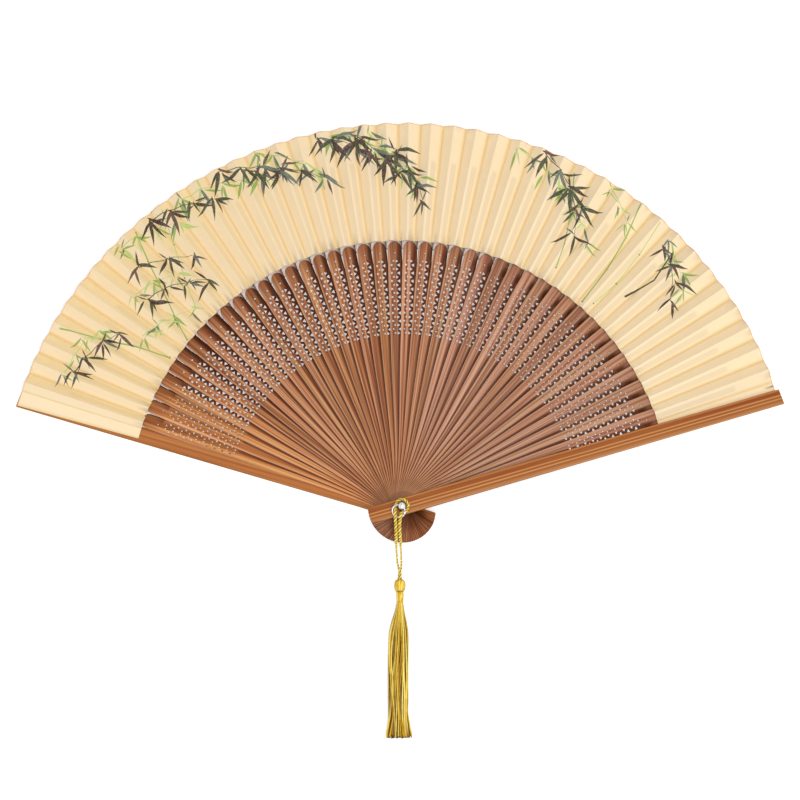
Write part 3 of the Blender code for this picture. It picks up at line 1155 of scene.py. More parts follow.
@dataclass
class CordLoop:
    """The cord: one line out of the tassel, round the rivet's neck and back, laid of two plies."""

    diameter: float = 0.0014
    full_r: float = 0.00084
    round_r: float = 0.00074
    thin_r: float = 0.00054
    tied_r: float = 0.00070
    ply_pitch: float = 0.0034
    exit: Point = (-0.0003, -0.0172, 0.01235)
    route_mm: tuple[Point, ...] = (
        (-0.95, -53.0, 2.15), (-0.95, -46.0, 2.15), (-0.9, -40.0, 2.4), (-0.72, -36.0, 2.62),
        (-0.66, -33.8, 2.62), (-0.6, -32.0, 2.9), (-0.95, -29.8, 2.9), (-1.7, -27.7, 2.15),
        (-2.18, -25.3, 1.65), (-2.45, -22.7, 3.7), (-2.7, -20.0, 8.1), (-2.8, -17.2, 12.35),
        (-2.85, -13.2, 16.5), (-2.96, -9.0, 17.65), (-3.16, -6.6, 18.3), (-3.18, -4.9, 18.68),
        (-3.22, -3.3, 18.35), (-3.25, -1.9, 17.78), (-3.25, -0.4, 17.4), (-2.9, 1.2, 17.38),
        (-1.75, 2.78, 17.38), (0.0, 3.4, 17.38), (1.75, 2.78, 17.38), (2.9, 1.2, 17.38),
        (2.97, -0.5, 17.42), (2.22, -1.9, 17.43), (0.95, -2.7, 17.55), (-0.18, -3.45, 18.2),
        (-0.6, -4.7, 18.9), (-0.85, -6.4, 18.7), (-1.08, -9.0, 17.75), (-0.98, -13.2, 16.5),
        (-0.75, -17.2, 12.35), (-0.55, -20.0, 8.1), (-0.35, -22.7, 3.7), (-0.22, -25.3, 1.45),
        (-0.32, -27.7, 0.9), (-0.95, -29.8, 1.05), (-1.32, -32.0, 1.6), (-1.28, -33.8, 2.62),
        (-1.18, -37.0, 2.62),
    )

    def line(self, count: int) -> list[Vector]:
        """Runs a smooth curve through the route.

        Args:
            count: The number of points wanted.

        Returns:
            Points that are evenly spaced along it.
        """
        knots = [Vector(point) / 1000 for point in self.route_mm]
        ends = [2 * knots[0] - knots[1], *knots, 2 * knots[-1] - knots[-2]]
        dense = []
        for before, start, end, after in zip(ends, ends[1:], ends[2:], ends[3:]):
            for step in range(16):
                t = step / 16
                linear = (end - before) * t
                square = (2 * before - 5 * start + 4 * end - after) * t**2
                cube = (3 * start - before - 3 * end + after) * t**3
                dense.append(0.5 * (2 * start + linear + square + cube))
        dense.append(knots[-1])
        lengths = [0.0]
        for start, end in zip(dense, dense[1:]):
            lengths.append(lengths[-1] + (end - start).length)
        points, index = [], 0
        for number in range(count):
            target = lengths[-1] * number / (count - 1)
            while index < len(lengths) - 2 and lengths[index + 1] < target:
                index += 1
            share = (target - lengths[index]) / (lengths[index + 1] - lengths[index])
            points.append(dense[index].lerp(dense[index + 1], share))
        return points

    def size_at(self, place: Vector) -> float:
        """The cord's radius: slack over the tail, tighter round the rivet, thin below the tail.

        Args:
            place: A point of the cord.

        Returns:
            The radius there.
        """
        slack = self.thin_r + (self.full_r - self.thin_r) * ease((place.y + 0.0205) / 0.005)
        slack += (self.tied_r - self.thin_r) * ease((-0.0272 - place.y) / 0.0020)
        return slack + (self.round_r - slack) * ease((place.y + 0.003) / 0.003)

    def ply(self, points: Sequence[Vector], phase: float) -> Line:
        """Winds one ply about the cord's line.

        Args:
            points: The cord's line.
            phase: The angle at which this ply starts.

        Returns:
            The ply's own line with its radius.
        """
        side = Vector((0.0, 0.0, 1.0))
        travelled, line = 0.0, []
        for number, place in enumerate(points):
            ahead = ahead_at(points, number).normalized()
            side = (side - ahead * side.dot(ahead)).normalized()
            if number:
                travelled += (place - points[number - 1]).length
            turn = phase + math.tau * travelled / self.ply_pitch
            out = side * math.cos(turn) + ahead.cross(side) * math.sin(turn)
            radius = self.size_at(place)
            line.append((place + out * radius * 0.50, radius * 0.53))
        return line

    def build(self) -> tuple[Piece, list[Vector]]:
        """Builds the cord.

        Returns:
            The cord and the points that it follows.
        """
        points = self.line(420)
        cord = tube("cord", [self.ply(points, phase) for phase in (0.0, math.pi)], 2)
        middle = KDTree(len(points))
        for number, point in enumerate(points):
            middle.insert(point, number)
        middle.balance()

        def depth(place: Vector) -> float:
            """How far out of the cord's core a vertex lies."""
            near, _, away = middle.find(place)
            return ease((away / self.size_at(near) - 0.48) / 0.42)

        write_strands(cord, (0.92, 0.62), depth)
        dress(cord, [YarnFinish("cord yarn").material()], Slot.YARN, "rivet", "tassel_cord")
        return cord, points


@dataclass
class Tassel:
    """The tassel: a ball of yarn, its bound neck and a skirt of loose strands on the floor."""

    axis_x: float = -0.00095
    top_y: float = -0.0341
    head_length: float = 0.0059
    head_r: float = 0.00280
    head_strand_r: float = 0.00040
    neck_length: float = 0.0050
    neck_r: float = 0.0020
    neck_end_r: float = 0.00165
    neck_strand_r: float = 0.00032
    skirt_length: float = 0.0660
    skirt_half_width: float = 0.0050
    hem_half_width: float = 0.00665
    lean: float = 0.0009
    skirt_half_height: float = 0.0023
    floor_gap: float = 0.00005
    strands: int = 170
    draw: random.Random = field(default_factory=lambda: random.Random(11))

    def laid(self, piece: Piece, top: float, radius: float) -> None:
        """Lays a piece that was made about Z on the floor.

        Args:
            piece: The piece.
            top: Where its top goes along Y.
            radius: Its radius.
        """
        turn = Matrix.Rotation(-math.pi / 2, 4, "X")
        place = Matrix.Translation((self.axis_x, top, radius + self.floor_gap))
        piece.data.transform(place @ turn)

    def wound(self, name: str, count: int, profile: Sequence[Pair], thick: float) -> Piece:
        """Makes a round form of strands that run over it from end to end, on a solid core.

        Args:
            name: The piece's name.
            count: The number of strands.
            profile: The radius and height of the form, from the top down.
            thick: The radius of a strand.

        Returns:
            The form, about Z.
        """
        lines, tones = [], []
        for number in range(count):
            turn = math.tau * number / count + self.draw.uniform(-0.05, 0.05)
            drift = self.draw.uniform(-0.15, 0.15)
            line = []
            for step, (radius, height) in enumerate(profile):
                at = turn + drift * step / len(profile)
                line.append((Vector((radius * math.cos(at), radius * math.sin(at), height)), thick))
            lines.append(line)
            tones.append(self.draw.uniform(0.4, 1.0))
        threads = tube("threads", lines, 1)
        most = max(radius for radius, _ in profile) + thick
        write_strands(threads, tones, lambda co: ease((math.hypot(co.x, co.y) / most - 0.45) / 0.5))
        core = turned_piece("core", [(r * 0.96, z) for r, z in reversed(profile)], 24)
        return join(name, [core, threads])

    def build_head(self) -> Piece:
        """Builds the ball with its strands.

        Returns:
            The ball.
        """
        half = self.head_length / 2
        inner = self.head_r - self.head_strand_r
        profile = []
        for step in range(13):
            turn = math.pi * (0.06 + 0.88 * (step / 12) ** 1.12)
            profile.append((inner * math.sin(turn) ** 0.42, -half + half * 0.95 * math.cos(turn)))
        head = self.wound("tassel_ball", 26, profile, self.head_strand_r)
        self.laid(head, self.top_y, self.head_r)
        return head

    def build_neck(self) -> Piece:
        """Builds the neck: strands that a few turns of yarn bind at the top.

        Returns:
            The neck.
        """
        profile = []
        for step in range(9):
            share = step / 8
            radius = self.neck_r + (self.neck_end_r - self.neck_r) * share
            radius *= 1 - 0.16 * (1 - ease(share / 0.2)) - 0.08 * ease((share - 0.8) / 0.2)
            profile.append((radius - self.neck_strand_r, -self.neck_length * share))
        neck = self.wound("tassel_tie", 18, profile, self.neck_strand_r)
        self.laid(neck, self.top_y - self.head_length - 0.0001, self.neck_r)
        return neck

    def section(self, share: float) -> Pair:
        """The skirt's section.

        Args:
            share: How far along the skirt it is, from 0 to 1.

        Returns:
            Its half width and half height.
        """
        swell = ease(share / 0.26) ** 0.8
        flare = max(0.0, (share - 0.8) / 0.2) ** 1.5
        width = self.neck_end_r + (self.skirt_half_width - self.neck_end_r) * swell
        width += (self.hem_half_width - self.skirt_half_width) * flare
        height = self.neck_end_r + (self.skirt_half_height - self.neck_end_r) * swell
        return width, height

    def middle_x(self, share: float) -> float:
        """Where the skirt's middle lies at share of its length."""
        return self.axis_x - self.lean * math.sin(share * 2.6)

    def strand(self, number: int) -> Line:
        """Lays one strand of the skirt from the neck to the hem.

        Args:
            number: The strand's number, which sets its place in the bundle.

        Returns:
            Its line with its radius.
        """
        reach = math.sqrt((number + 0.5) / self.strands)
        turn = number * 2.399963
        across, up = reach * math.cos(turn), reach * math.sin(turn)
        phase, sway = self.draw.uniform(0.0, math.tau), self.draw.uniform(0.06, 0.18)
        waves = self.draw.uniform(5.0, 10.0)
        length = self.skirt_length * self.draw.uniform(0.975, 1.0)
        top = self.top_y - self.head_length - self.neck_length - 0.0002
        thick = self.draw.uniform(0.00026, 0.00036)
        line = []
        for step in range(15):
            share = step / 14
            width, height = self.section(share)
            aside = across + sway * math.sin(phase + share * waves) * min(1.0, share * 3)
            x = self.middle_x(share) + (width - thick) * max(-1.0, min(1.0, aside))
            z = height + (height - thick) * up + self.floor_gap
            line.append((Vector((x, top - length * share, max(z, thick + self.floor_gap))), thick))
        return line

    def build_skirt(self) -> Piece:
        """Builds the skirt's strands.

        Returns:
            The skirt.
        """
        lines = [self.strand(number) for number in range(self.strands)]
        skirt = tube("tassel_strands", lines, 1)
        tones = [self.draw.random() ** 0.7 for _ in range(self.strands)]

        def depth(place: Vector) -> float:
            """How near the skirt's upper side a vertex lies.

            Args:
                place: The vertex's place.

            Returns:
                From 0 for deep to 1 for outermost.
            """
            top_y = self.top_y - self.head_length - self.neck_length
            share = (top_y - place.y) / self.skirt_length
            width, height = self.section(min(1.0, max(0.0, share)))
            across = min(1.0, abs(place.x - self.middle_x(share)) / width)
            top = height * (1 + math.sqrt(1 - across * across)) + self.floor_gap
            return ease(1 - (top - place.z) / 0.0006)

        write_strands(skirt, tones, depth)
        return skirt

    def build(self, cord: CordLoop) -> None:
        """Builds the tassel with its cord.

        Args:
            cord: The cord that it hangs from.
        """
        loop, line = cord.build()
        pieces = [self.build_head(), self.build_neck(), self.build_skirt()]
        finishes = [
            YarnFinish("ball yarn"),
            YarnFinish("tie yarn"),
            YarnFinish("strand yarn", low=from_srgb(126, 82, 6)),
        ]
        for piece, node, finish in zip(pieces, ("head", "neck", "skirt"), finishes):
            dress(piece, [finish.material()], Slot.YARN, "rivet", f"tassel_{node}")
        length = sum((end - start).length for start, end in zip(line, line[1:]))
        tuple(cord.exit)
        [tuple(point) for point in line]
        LOG.info("cord of %.1f mm", length * 1000)


# The slats


@dataclass(frozen=True)
class RibPattern:
    """What ribs up to a number share: how large their openings are, and how round their heads."""

    last: int
    raised_share: float
    low_share: float
    head_rise: float
    eye_r: float


@dataclass
class Rib:
    """The ribs: thin cambered slats with a pierced lattice, which lean towards the front guard."""

    widths: tuple[Pair, ...] = (
        (-0.0165, 0.0031), (0.0, 0.00325), (0.030, 0.0025), (0.082, 0.0032),
        (0.112, 0.0035), (0.1215, 0.00352), (0.1282, 0.00340),
    )
    head_power: float = 2.0
    hole_r: float = 0.00115
    cutter_height: float = 0.002
    eye_at: float = 0.1263
    lattice_top: float = 0.1222
    period: float = 0.00397
    cells: int = 10
    diamond: tuple[Pair, ...] = ((-0.00086, 0.00031), (0.0, 0.00160), (0.00086, 0.00031))
    side_hole: tuple[Pair, ...] = ((-0.00100, 0.00228), (0.0, 0.00074), (0.00100, 0.00228))
    slopes: tuple[Pair, ...] = (
        (0.0, 0.012), (0.030, 0.052), (0.060, 0.105), (0.085, 0.21), (0.130, 0.33),
    )
    steep_slopes: tuple[Pair, ...] = (
        (0.0, 0.012), (0.030, 0.052), (0.060, 0.13), (0.085, 0.32), (0.130, 0.56),
    )
    cambers: tuple[Pair, ...] = (
        (0.0, 0.0), (0.030, 0.05), (0.060, 0.12), (0.085, 0.22), (0.130, 0.42),
    )
    steep_from: int = 26
    steep_to: int = 34
    low_from: int = 6
    low_to: int = 14
    wide_from: float = 0.088
    wide_to: float = 0.118
    long_from: float = 0.1282
    steep_widening: float = 0.17
    low_widening: float = 0.06
    low_lengthening: float = 0.65
    rear_hold: float = 0.15
    front_hold: float = 0.5
    hold_from: float = 0.045
    hold_to: float = 0.080
    columns: int = 8
    strip_t: float = 0.8 * PLAN.rib_t
    strip_half: float = 0.00110
    strip_root: float = 0.00395
    low_strip_root: float = 0.00335
    strip_first: float = 0.1285
    strip_crowding: float = 1.4
    strip_rise_from: float = 0.0015
    strip_rise: float = 0.010
    strip_taper_from: float = 0.001
    strip_taper: float = 0.005
    strip_gap: float = 0.00025
    strip_drop: float = 0.00026
    strip_fall: float = 0.00008
    patterns: tuple[RibPattern, ...] = (
        RibPattern(3, 0.60, 0.60, 0.0020, 0.0003),
        RibPattern(9, 0.76, 1.00, 0.0022, 0.00045),
        RibPattern(19, 0.80, 1.02, 0.0040, 0.00045),
        RibPattern(28, 0.72, 0.96, 0.0042, 0.00036),
        RibPattern(43, 0.52, 0.78, 0.0014, 0.00022),
    )

    @staticmethod
    def between(marks: Sequence[Pair], r: float) -> float:
        """Reads a value from marks, easing from each to the next.

        Args:
            marks: Places along the rib with the value at each.
            r: The place to read at.

        Returns:
            The value.
        """
        if r <= marks[0][0]:
            return marks[0][1]
        for (start, low), (end, high) in zip(marks, marks[1:]):
            if r <= end:
                return low + (high - low) * ease((r - start) / (end - start))
        return marks[-1][1]

    def half_width(self, r: float) -> float:
        """The rib's half width at r, but for its rounded head."""
        return self.between(self.widths, r)

    @property
    def stations(self) -> list[float]:
        """The places along the rib where its grid has a line.

        Returns:
            The places, from the tail to the head.
        """
        plain = [-0.0165, -0.012, -0.006, 0.0, 0.008, 0.016, 0.024, 0.032, 0.042, 0.052]
        upper = [0.060 + 0.0062 * number for number in range(11)]
        head = [0.1252, 0.1282, 0.1294, 0.1303, 0.1310, 0.1315, 0.1318, 0.1320]
        return plain + upper + head

    def outline(self, share: float, side: float, head_rise: float) -> Pair:
        """Places a point of the rib's grid.

        Args:
            share: How far along the grid it is.
            side: How far across, from -1 to 1.
            head_rise: How far below its top the head begins to round.

        Returns:
            Its place along and across the rib.
        """
        index = round(share * (len(self.stations) - 1))
        r = self.stations[index]
        half = self.half_width(r)
        rise = (r - (PLAN.head_r - head_rise)) / head_rise
        if rise > 0:
            half *= max(0.0, 1 - rise**self.head_power) ** (1 / self.head_power)
        if index == 0:
            return -math.sqrt(PLAN.tail_r**2 - (half * side) ** 2), half * side
        return r, half * side

    def steep(self, number: int) -> float:
        """How much a rib is one of the steep ones near the front guard, from 0 to 1."""
        return ease((number - self.steep_from) / (self.steep_to - self.steep_from))

    def widened(self, co: Vector, number: int) -> Vector:
        """Widens the upper part of the ribs near the guards, and lengthens it near the rear one.

        Args:
            co: A point of the flat rib.
            number: The rib's number.

        Returns:
            Where the point goes.
        """
        low = 1 - ease((number - self.low_from) / (self.low_to - self.low_from))
        wider = self.steep_widening * self.steep(number) + self.low_widening * low
        wider *= ease((co.x - self.wide_from) / (self.wide_to - self.wide_from))
        longer = max(0.0, co.x - self.long_from) * self.low_lengthening * low
        return Vector((co.x + longer, co.y * (1 + wider), co.z))

    def section(self, r: float, y: float, number: int) -> float:
        """How high a point of the rib's section lies over its flat place.

        Args:
            r: The point's place along the rib.
            y: Its place across.
            number: The rib's number.

        Returns:
            The height.
        """
        steep = self.steep(number)
        slope = self.between(self.slopes, r) * (1 - steep)
        slope += self.between(self.steep_slopes, r) * steep
        camber = self.between(self.cambers, r)
        held = min(1.0, self.rear_hold * number)
        pressed = 1 - min(1.0, self.front_hold * (PLAN.ribs - number))
        pressed *= 1 - ease((r - self.hold_from) / (self.hold_to - self.hold_from))
        return (1 - pressed) * held * (slope * y - camber * y * y / (2 * self.half_width(r)))

    def prism(self, corners: Sequence[Pair], at: float, count: int) -> Piece:
        """Adds a row of three-sided prisms to cut openings with.

        Args:
            corners: The opening's corners about its own middle line.
            at: The place of the uppermost one along the rib.
            count: How many follow each other, a period apart.

        Returns:
            The prisms, which run right through the rib.
        """
        prism = cylinder("prism", 3, 1.0, self.cutter_height)
        ordered = sorted(prism.data.vertices, key=lambda v: math.atan2(v.co.y, v.co.x) % math.tau)
        for number, vertex in enumerate(ordered):
            along, across = corners[number // 2]
            vertex.co.x, vertex.co.y = at + along, across
        modify(
            prism,
            "ARRAY",
            count=count,
            use_relative_offset=False,
            use_constant_offset=True,
            constant_offset_displace=(-self.period, 0.0, 0.0),
        )
        return prism

    def cutters(self, kind: RibPattern) -> Piece:
        """Makes the openings' cutters as one object.

        Args:
            kind: Says how large the openings are on each side of the middle line.

        Returns:
            The joined cutters.
        """
        kinds = (
            (self.diamond, self.lattice_top, self.cells),
            (self.side_hole, self.lattice_top - self.period / 2, self.cells - 1),
        )
        rows = []
        for side, share in ((1.0, kind.raised_share), (-1.0, kind.low_share)):
            for corners, at, count in kinds:
                middle = sum(across for _, across in corners) / len(corners)
                sized = [(x * share, side * (middle + (y - middle) * share)) for x, y in corners]
                rows.append(self.prism(sized, at, count))
        lattice = join("lattice", rows)
        edit(lattice)
        bpy.ops.mesh.normals_make_consistent(inside=False)
        leave_edit()
        holes = [
            cylinder("hole", sides, radius, self.cutter_height, (at, 0.0, 0.0))
            for radius, at, sides in ((self.hole_r, 0.0, 20), (kind.eye_r, self.eye_at, 14))
        ]
        return join("cutters", [lattice, *holes])

    def lap(self, co: Vector) -> Pair:
        """Where a point lies under the next rib, and where across its own.

        Args:
            co: The point.

        Returns:
            The first as a share of the step, and the second from -1 to 1.
        """
        half = self.half_width(co.x)
        reach = half - co.y if co.x > 0 else half + co.y
        return reach / (max(abs(co.x), 0.004) * PLAN.opening / (PLAN.ribs + 1)), co.y / half

    def pattern(self, kind: RibPattern) -> Piece:
        """Makes a pierced sheet that ribs are copies of.

        Args:
            kind: What its ribs share.

        Returns:
            The sheet, flat, along X.
        """
        rise, cells = kind.head_rise, len(self.stations) - 1
        blank = grid_sheet("rib", cells, self.columns, lambda x, y: self.outline(x, y, rise))
        modify(blank, "SOLIDIFY", thickness=PLAN.rib_t, offset=0.0)
        cut(blank, self.cutters(kind))
        modify(blank, "TRIANGULATE")
        edit(blank, "FACE")
        bpy.ops.mesh.select_all(action="DESELECT")
        leave_edit()
        for face in blank.data.polygons:
            face.select = face.normal.z < 0.5
        pick_up(blank)
        bpy.ops.object.mode_set(mode="EDIT")
        bpy.ops.mesh.delete(type="FACE")
        leave_edit()
        move_points(blank, lambda co: Vector((co.x, co.y, 0.0)))
        write_map(blank, "slat", lambda co: (co.x, co.y))
        write_map(blank, "lap", self.lap)
        smooth(blank)
        return blank

    def strip_point(self, share: float, side: float, number: int) -> Vector:
        """Places a point of the strip that a rib's tip becomes behind the leaf.

        Args:
            share: How far along the strip it is.
            side: How far across, from -1 to 1.
            number: The rib's number.

        Returns:
            Its place along, across and above the rib.
        """
        r = self.strip_first + (PLAN.strip_r - self.strip_first) * share**self.strip_crowding
        fall = PLAN.trail(number) / (PLAN.lead + PLAN.trail(number))
        middle = PLAN.rise * r * fall - PLAN.fold_drop - self.strip_drop
        slope = PLAN.rise / (PLAN.lead + PLAN.trail(number))
        blend = ease((r - PLAN.head_r - self.strip_rise_from) / self.strip_rise)
        root = self.strip_root if number > 2 else self.low_strip_root
        taper = ease((r - PLAN.head_r - self.strip_taper_from) / self.strip_taper)
        y = side * (root + (self.strip_half - root) * taper)
        under = self.section(r, y, number) - self.strip_gap
        return Vector((r, y, (1 - blend) * under + blend * (middle + slope * y)))

    def build_strip(self, number: int, finishes: Sequence[Material]) -> Piece:
        """Builds one strip, flat.

        Args:
            number: The rib's number.
            finishes: The materials of its faces and of its rim.

        Returns:
            The strip.
        """
        strip = grid_sheet(f"strip_{number:02d}", 14, 2, lambda share, side: (share, side))
        move_points(strip, lambda co: self.strip_point(co.x, co.y, number))
        write_map(strip, "slat", lambda co: (co.x, co.y))
        dress(strip, finishes, Slot.RIB, f"rib_{number:02d}")
        return strip

    def build_rib(self, number: int, sheet: Piece, finishes: Sequence[Material]) -> Piece:
        """Builds one rib.

        Args:
            number: Its number.
            sheet: The pierced sheet that it is a copy of.
            finishes: The materials of its faces and of its rim.

        Returns:
            The rib.
        """
        rib = linked(f"rib_slat_{number:02d}", sheet.data.copy())
        rib.data.name = rib.name
        move_points(rib, lambda co: self.widened(co, number))
        move_points(rib, lambda co: Vector((co.x, co.y, self.section(co.x, co.y, number))))
        count = len(rib.data.vertices)
        for name, value in (
            ("seed", random.Random(number).uniform(0.0, 9.0)),
            ("warm", 1 - 0.85 * ease((number - 2.5) / 5.0)),
            # The share of painted pink sheen grows towards the front guard.
            ("pink_sheen", 0.85 * ease((number - 20.0) / 12.0)),
        ):
            write_values(rib, name, [value] * count)
        node = f"rib_{number:02d}"
        dress(rib, finishes, Slot.RIB, node, node)
        return rib

    def build(self) -> None:
        """Builds every rib and its strip."""
        faces, edges, blades = RibFinish().material(), BURNT_EDGE.material(), BLADE.material()
        sheets = [self.pattern(kind) for kind in self.patterns]
        for number in range(1, PLAN.ribs + 1):
            level, joint = PLAN.level(number), f"rib_{number:02d}_hinge"
            sheet = next(s for kind, s in zip(self.patterns, sheets) if number <= kind.last)
            for piece, thick, fall, keep in (
                (self.build_rib(number, sheet, [faces, edges]), PLAN.rib_t, 0.0, 0.04),
                (self.build_strip(number, [blades, blades]), self.strip_t, self.strip_fall, 0.03),
            ):
                piece.data.transform(PLAN.slat_place(number, level))
                modify(
                    piece, "SOLIDIFY", keep=True, thickness=thick, offset=0.0, material_offset_rim=1
                )
                smooth(piece)
                level - fall
                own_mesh(piece)
        for sheet in sheets:
            bpy.data.objects.remove(sheet)
        LOG.info("%d ribs with their strips", PLAN.ribs)


@dataclass
class Guards:
    """The two outer slats, thicker than the ribs and plain."""

    tail_half: float = 0.0035
    pivot_half: float = 0.00415
    tip_half: float = 0.0038
    slant: float = 0.0006
    rounding: float = 0.00032
    hole_r: float = 0.00115
    recess_r: float = 0.0026
    recess_depth: float = 0.0009

    @staticmethod
    def stations(tip: float) -> list[float]:
        """The places along a guard where its grid has a line."""
        return [-0.0165, -0.012, -0.006, 0.0] + [tip * number / 16 for number in range(1, 17)]

    def outline(self, share: float, side: float, tip: float, lean: float) -> Pair:
        """Places a point of a guard's grid.

        Args:
            share: How far along the grid it is.
            side: How far across, from -1 to 1.
            tip: How far the guard reaches.
            lean: How far the tip leans.

        Returns:
            Its place along and across the guard.
        """
        stations = self.stations(tip)
        index = round(share * (len(stations) - 1))
        r = stations[index]
        if r < 0:
            half = self.pivot_half + (self.tail_half - self.pivot_half) * -r / PLAN.tail_r
        else:
            half = self.pivot_half + (self.tip_half - self.pivot_half) * r / tip
        if index == 0:
            return -math.sqrt(PLAN.tail_r**2 - (half * side) ** 2), half * side
        if index == len(stations) - 1:
            return r - lean * side / 2, half * side
        return r, half * side

    def build_guard(self, side: str, number: int, lean: float, bands: Bands) -> None:
        """Builds one guard.

        Args:
            side: The side that it is on, which its names tell.
            number: Its place among the slats.
            lean: How far its tip leans.
            bands: The place, half width and colour of the bands along it.
        """
        tip = PLAN.front_tip_r if number else PLAN.rear_tip_r
        cells = len(self.stations(tip)) - 1
        guard = grid_sheet(f"guard_{side}", cells, 6, lambda x, y: self.outline(x, y, tip, lean))
        modify(guard, "SOLIDIFY", thickness=PLAN.guard_t, offset=0.0)
        sharp = {"limit_method": "ANGLE", "angle_limit": math.radians(50)}
        modify(guard, "BEVEL", width=self.rounding, segments=3, **sharp)
        cut(guard, cylinder("drill", 32, self.hole_r, 0.01))
        if number == 0:
            bottom = (0.0, 0.0, -PLAN.guard_t / 2)
            cut(guard, cylinder("recess", 40, self.recess_r, 2 * self.recess_depth, bottom))
        write_map(guard, "slat", lambda co: (co.x, co.y))
        base = PLAN.front_base if number else 0.0
        guard.data.transform(PLAN.slat_place(number, base + PLAN.guard_t / 2))
        smooth_by_angle(guard, 35.0)
        finish = GuardFinish(f"{side} guard bamboo", bands)
        dress(guard, [finish.material()], Slot.GUARD, f"{side}_guard", f"{side}_guard")

    def build(self) -> None:
        """Builds both guards."""
        rear = (
            (-0.0034, 0.0006, from_srgb(150, 78, 34)),
            (-0.0018, 0.0011, from_srgb(186, 112, 62)),
            (0.0004, 0.0005, from_srgb(164, 88, 40)),
            (0.0018, 0.0009, from_srgb(180, 106, 56)),
        )
        front = (
            (0.0020, 0.0012, from_srgb(136, 62, 14)),
            (0.0036, 0.0005, from_srgb(186, 122, 60)),
            (0.0006, 0.0004, from_srgb(198, 138, 78)),
            (-0.0002, 0.0005, from_srgb(140, 70, 22)),
            (-0.0009, 0.0004, from_srgb(200, 142, 86)),
            (-0.0017, 0.0005, from_srgb(146, 80, 32)),
            (-0.0028, 0.0008, from_srgb(172, 112, 62)),
            (-0.0037, 0.0004, from_srgb(192, 138, 90)),
        )
        self.build_guard("rear", 0, -self.slant, rear)
        self.build_guard("front", PLAN.ribs + 1, self.slant, front)


# The leaf


class Ink(Enum):
    """The colours of the print."""

    PURPLE = from_srgb(48, 24, 30)
    PLUM = from_srgb(86, 56, 62)
    DARK = from_srgb(48, 62, 42)
    SLATE = from_srgb(96, 114, 104)
    GREEN = from_srgb(144, 176, 84)
    PALE = from_srgb(190, 208, 132)


@dataclass(frozen=True)
class Mark:
    """One painted shape of the print: its outline in plan and its ink."""

    outline: tuple[Pair, ...]
    ink: Ink

    def reach(self) -> tuple[float, float, float, float]:
        """The lowest and highest x and y of the outline."""
        xs, ys = [p[0] for p in self.outline], [p[1] for p in self.outline]
        return min(xs), max(xs), min(ys), max(ys)


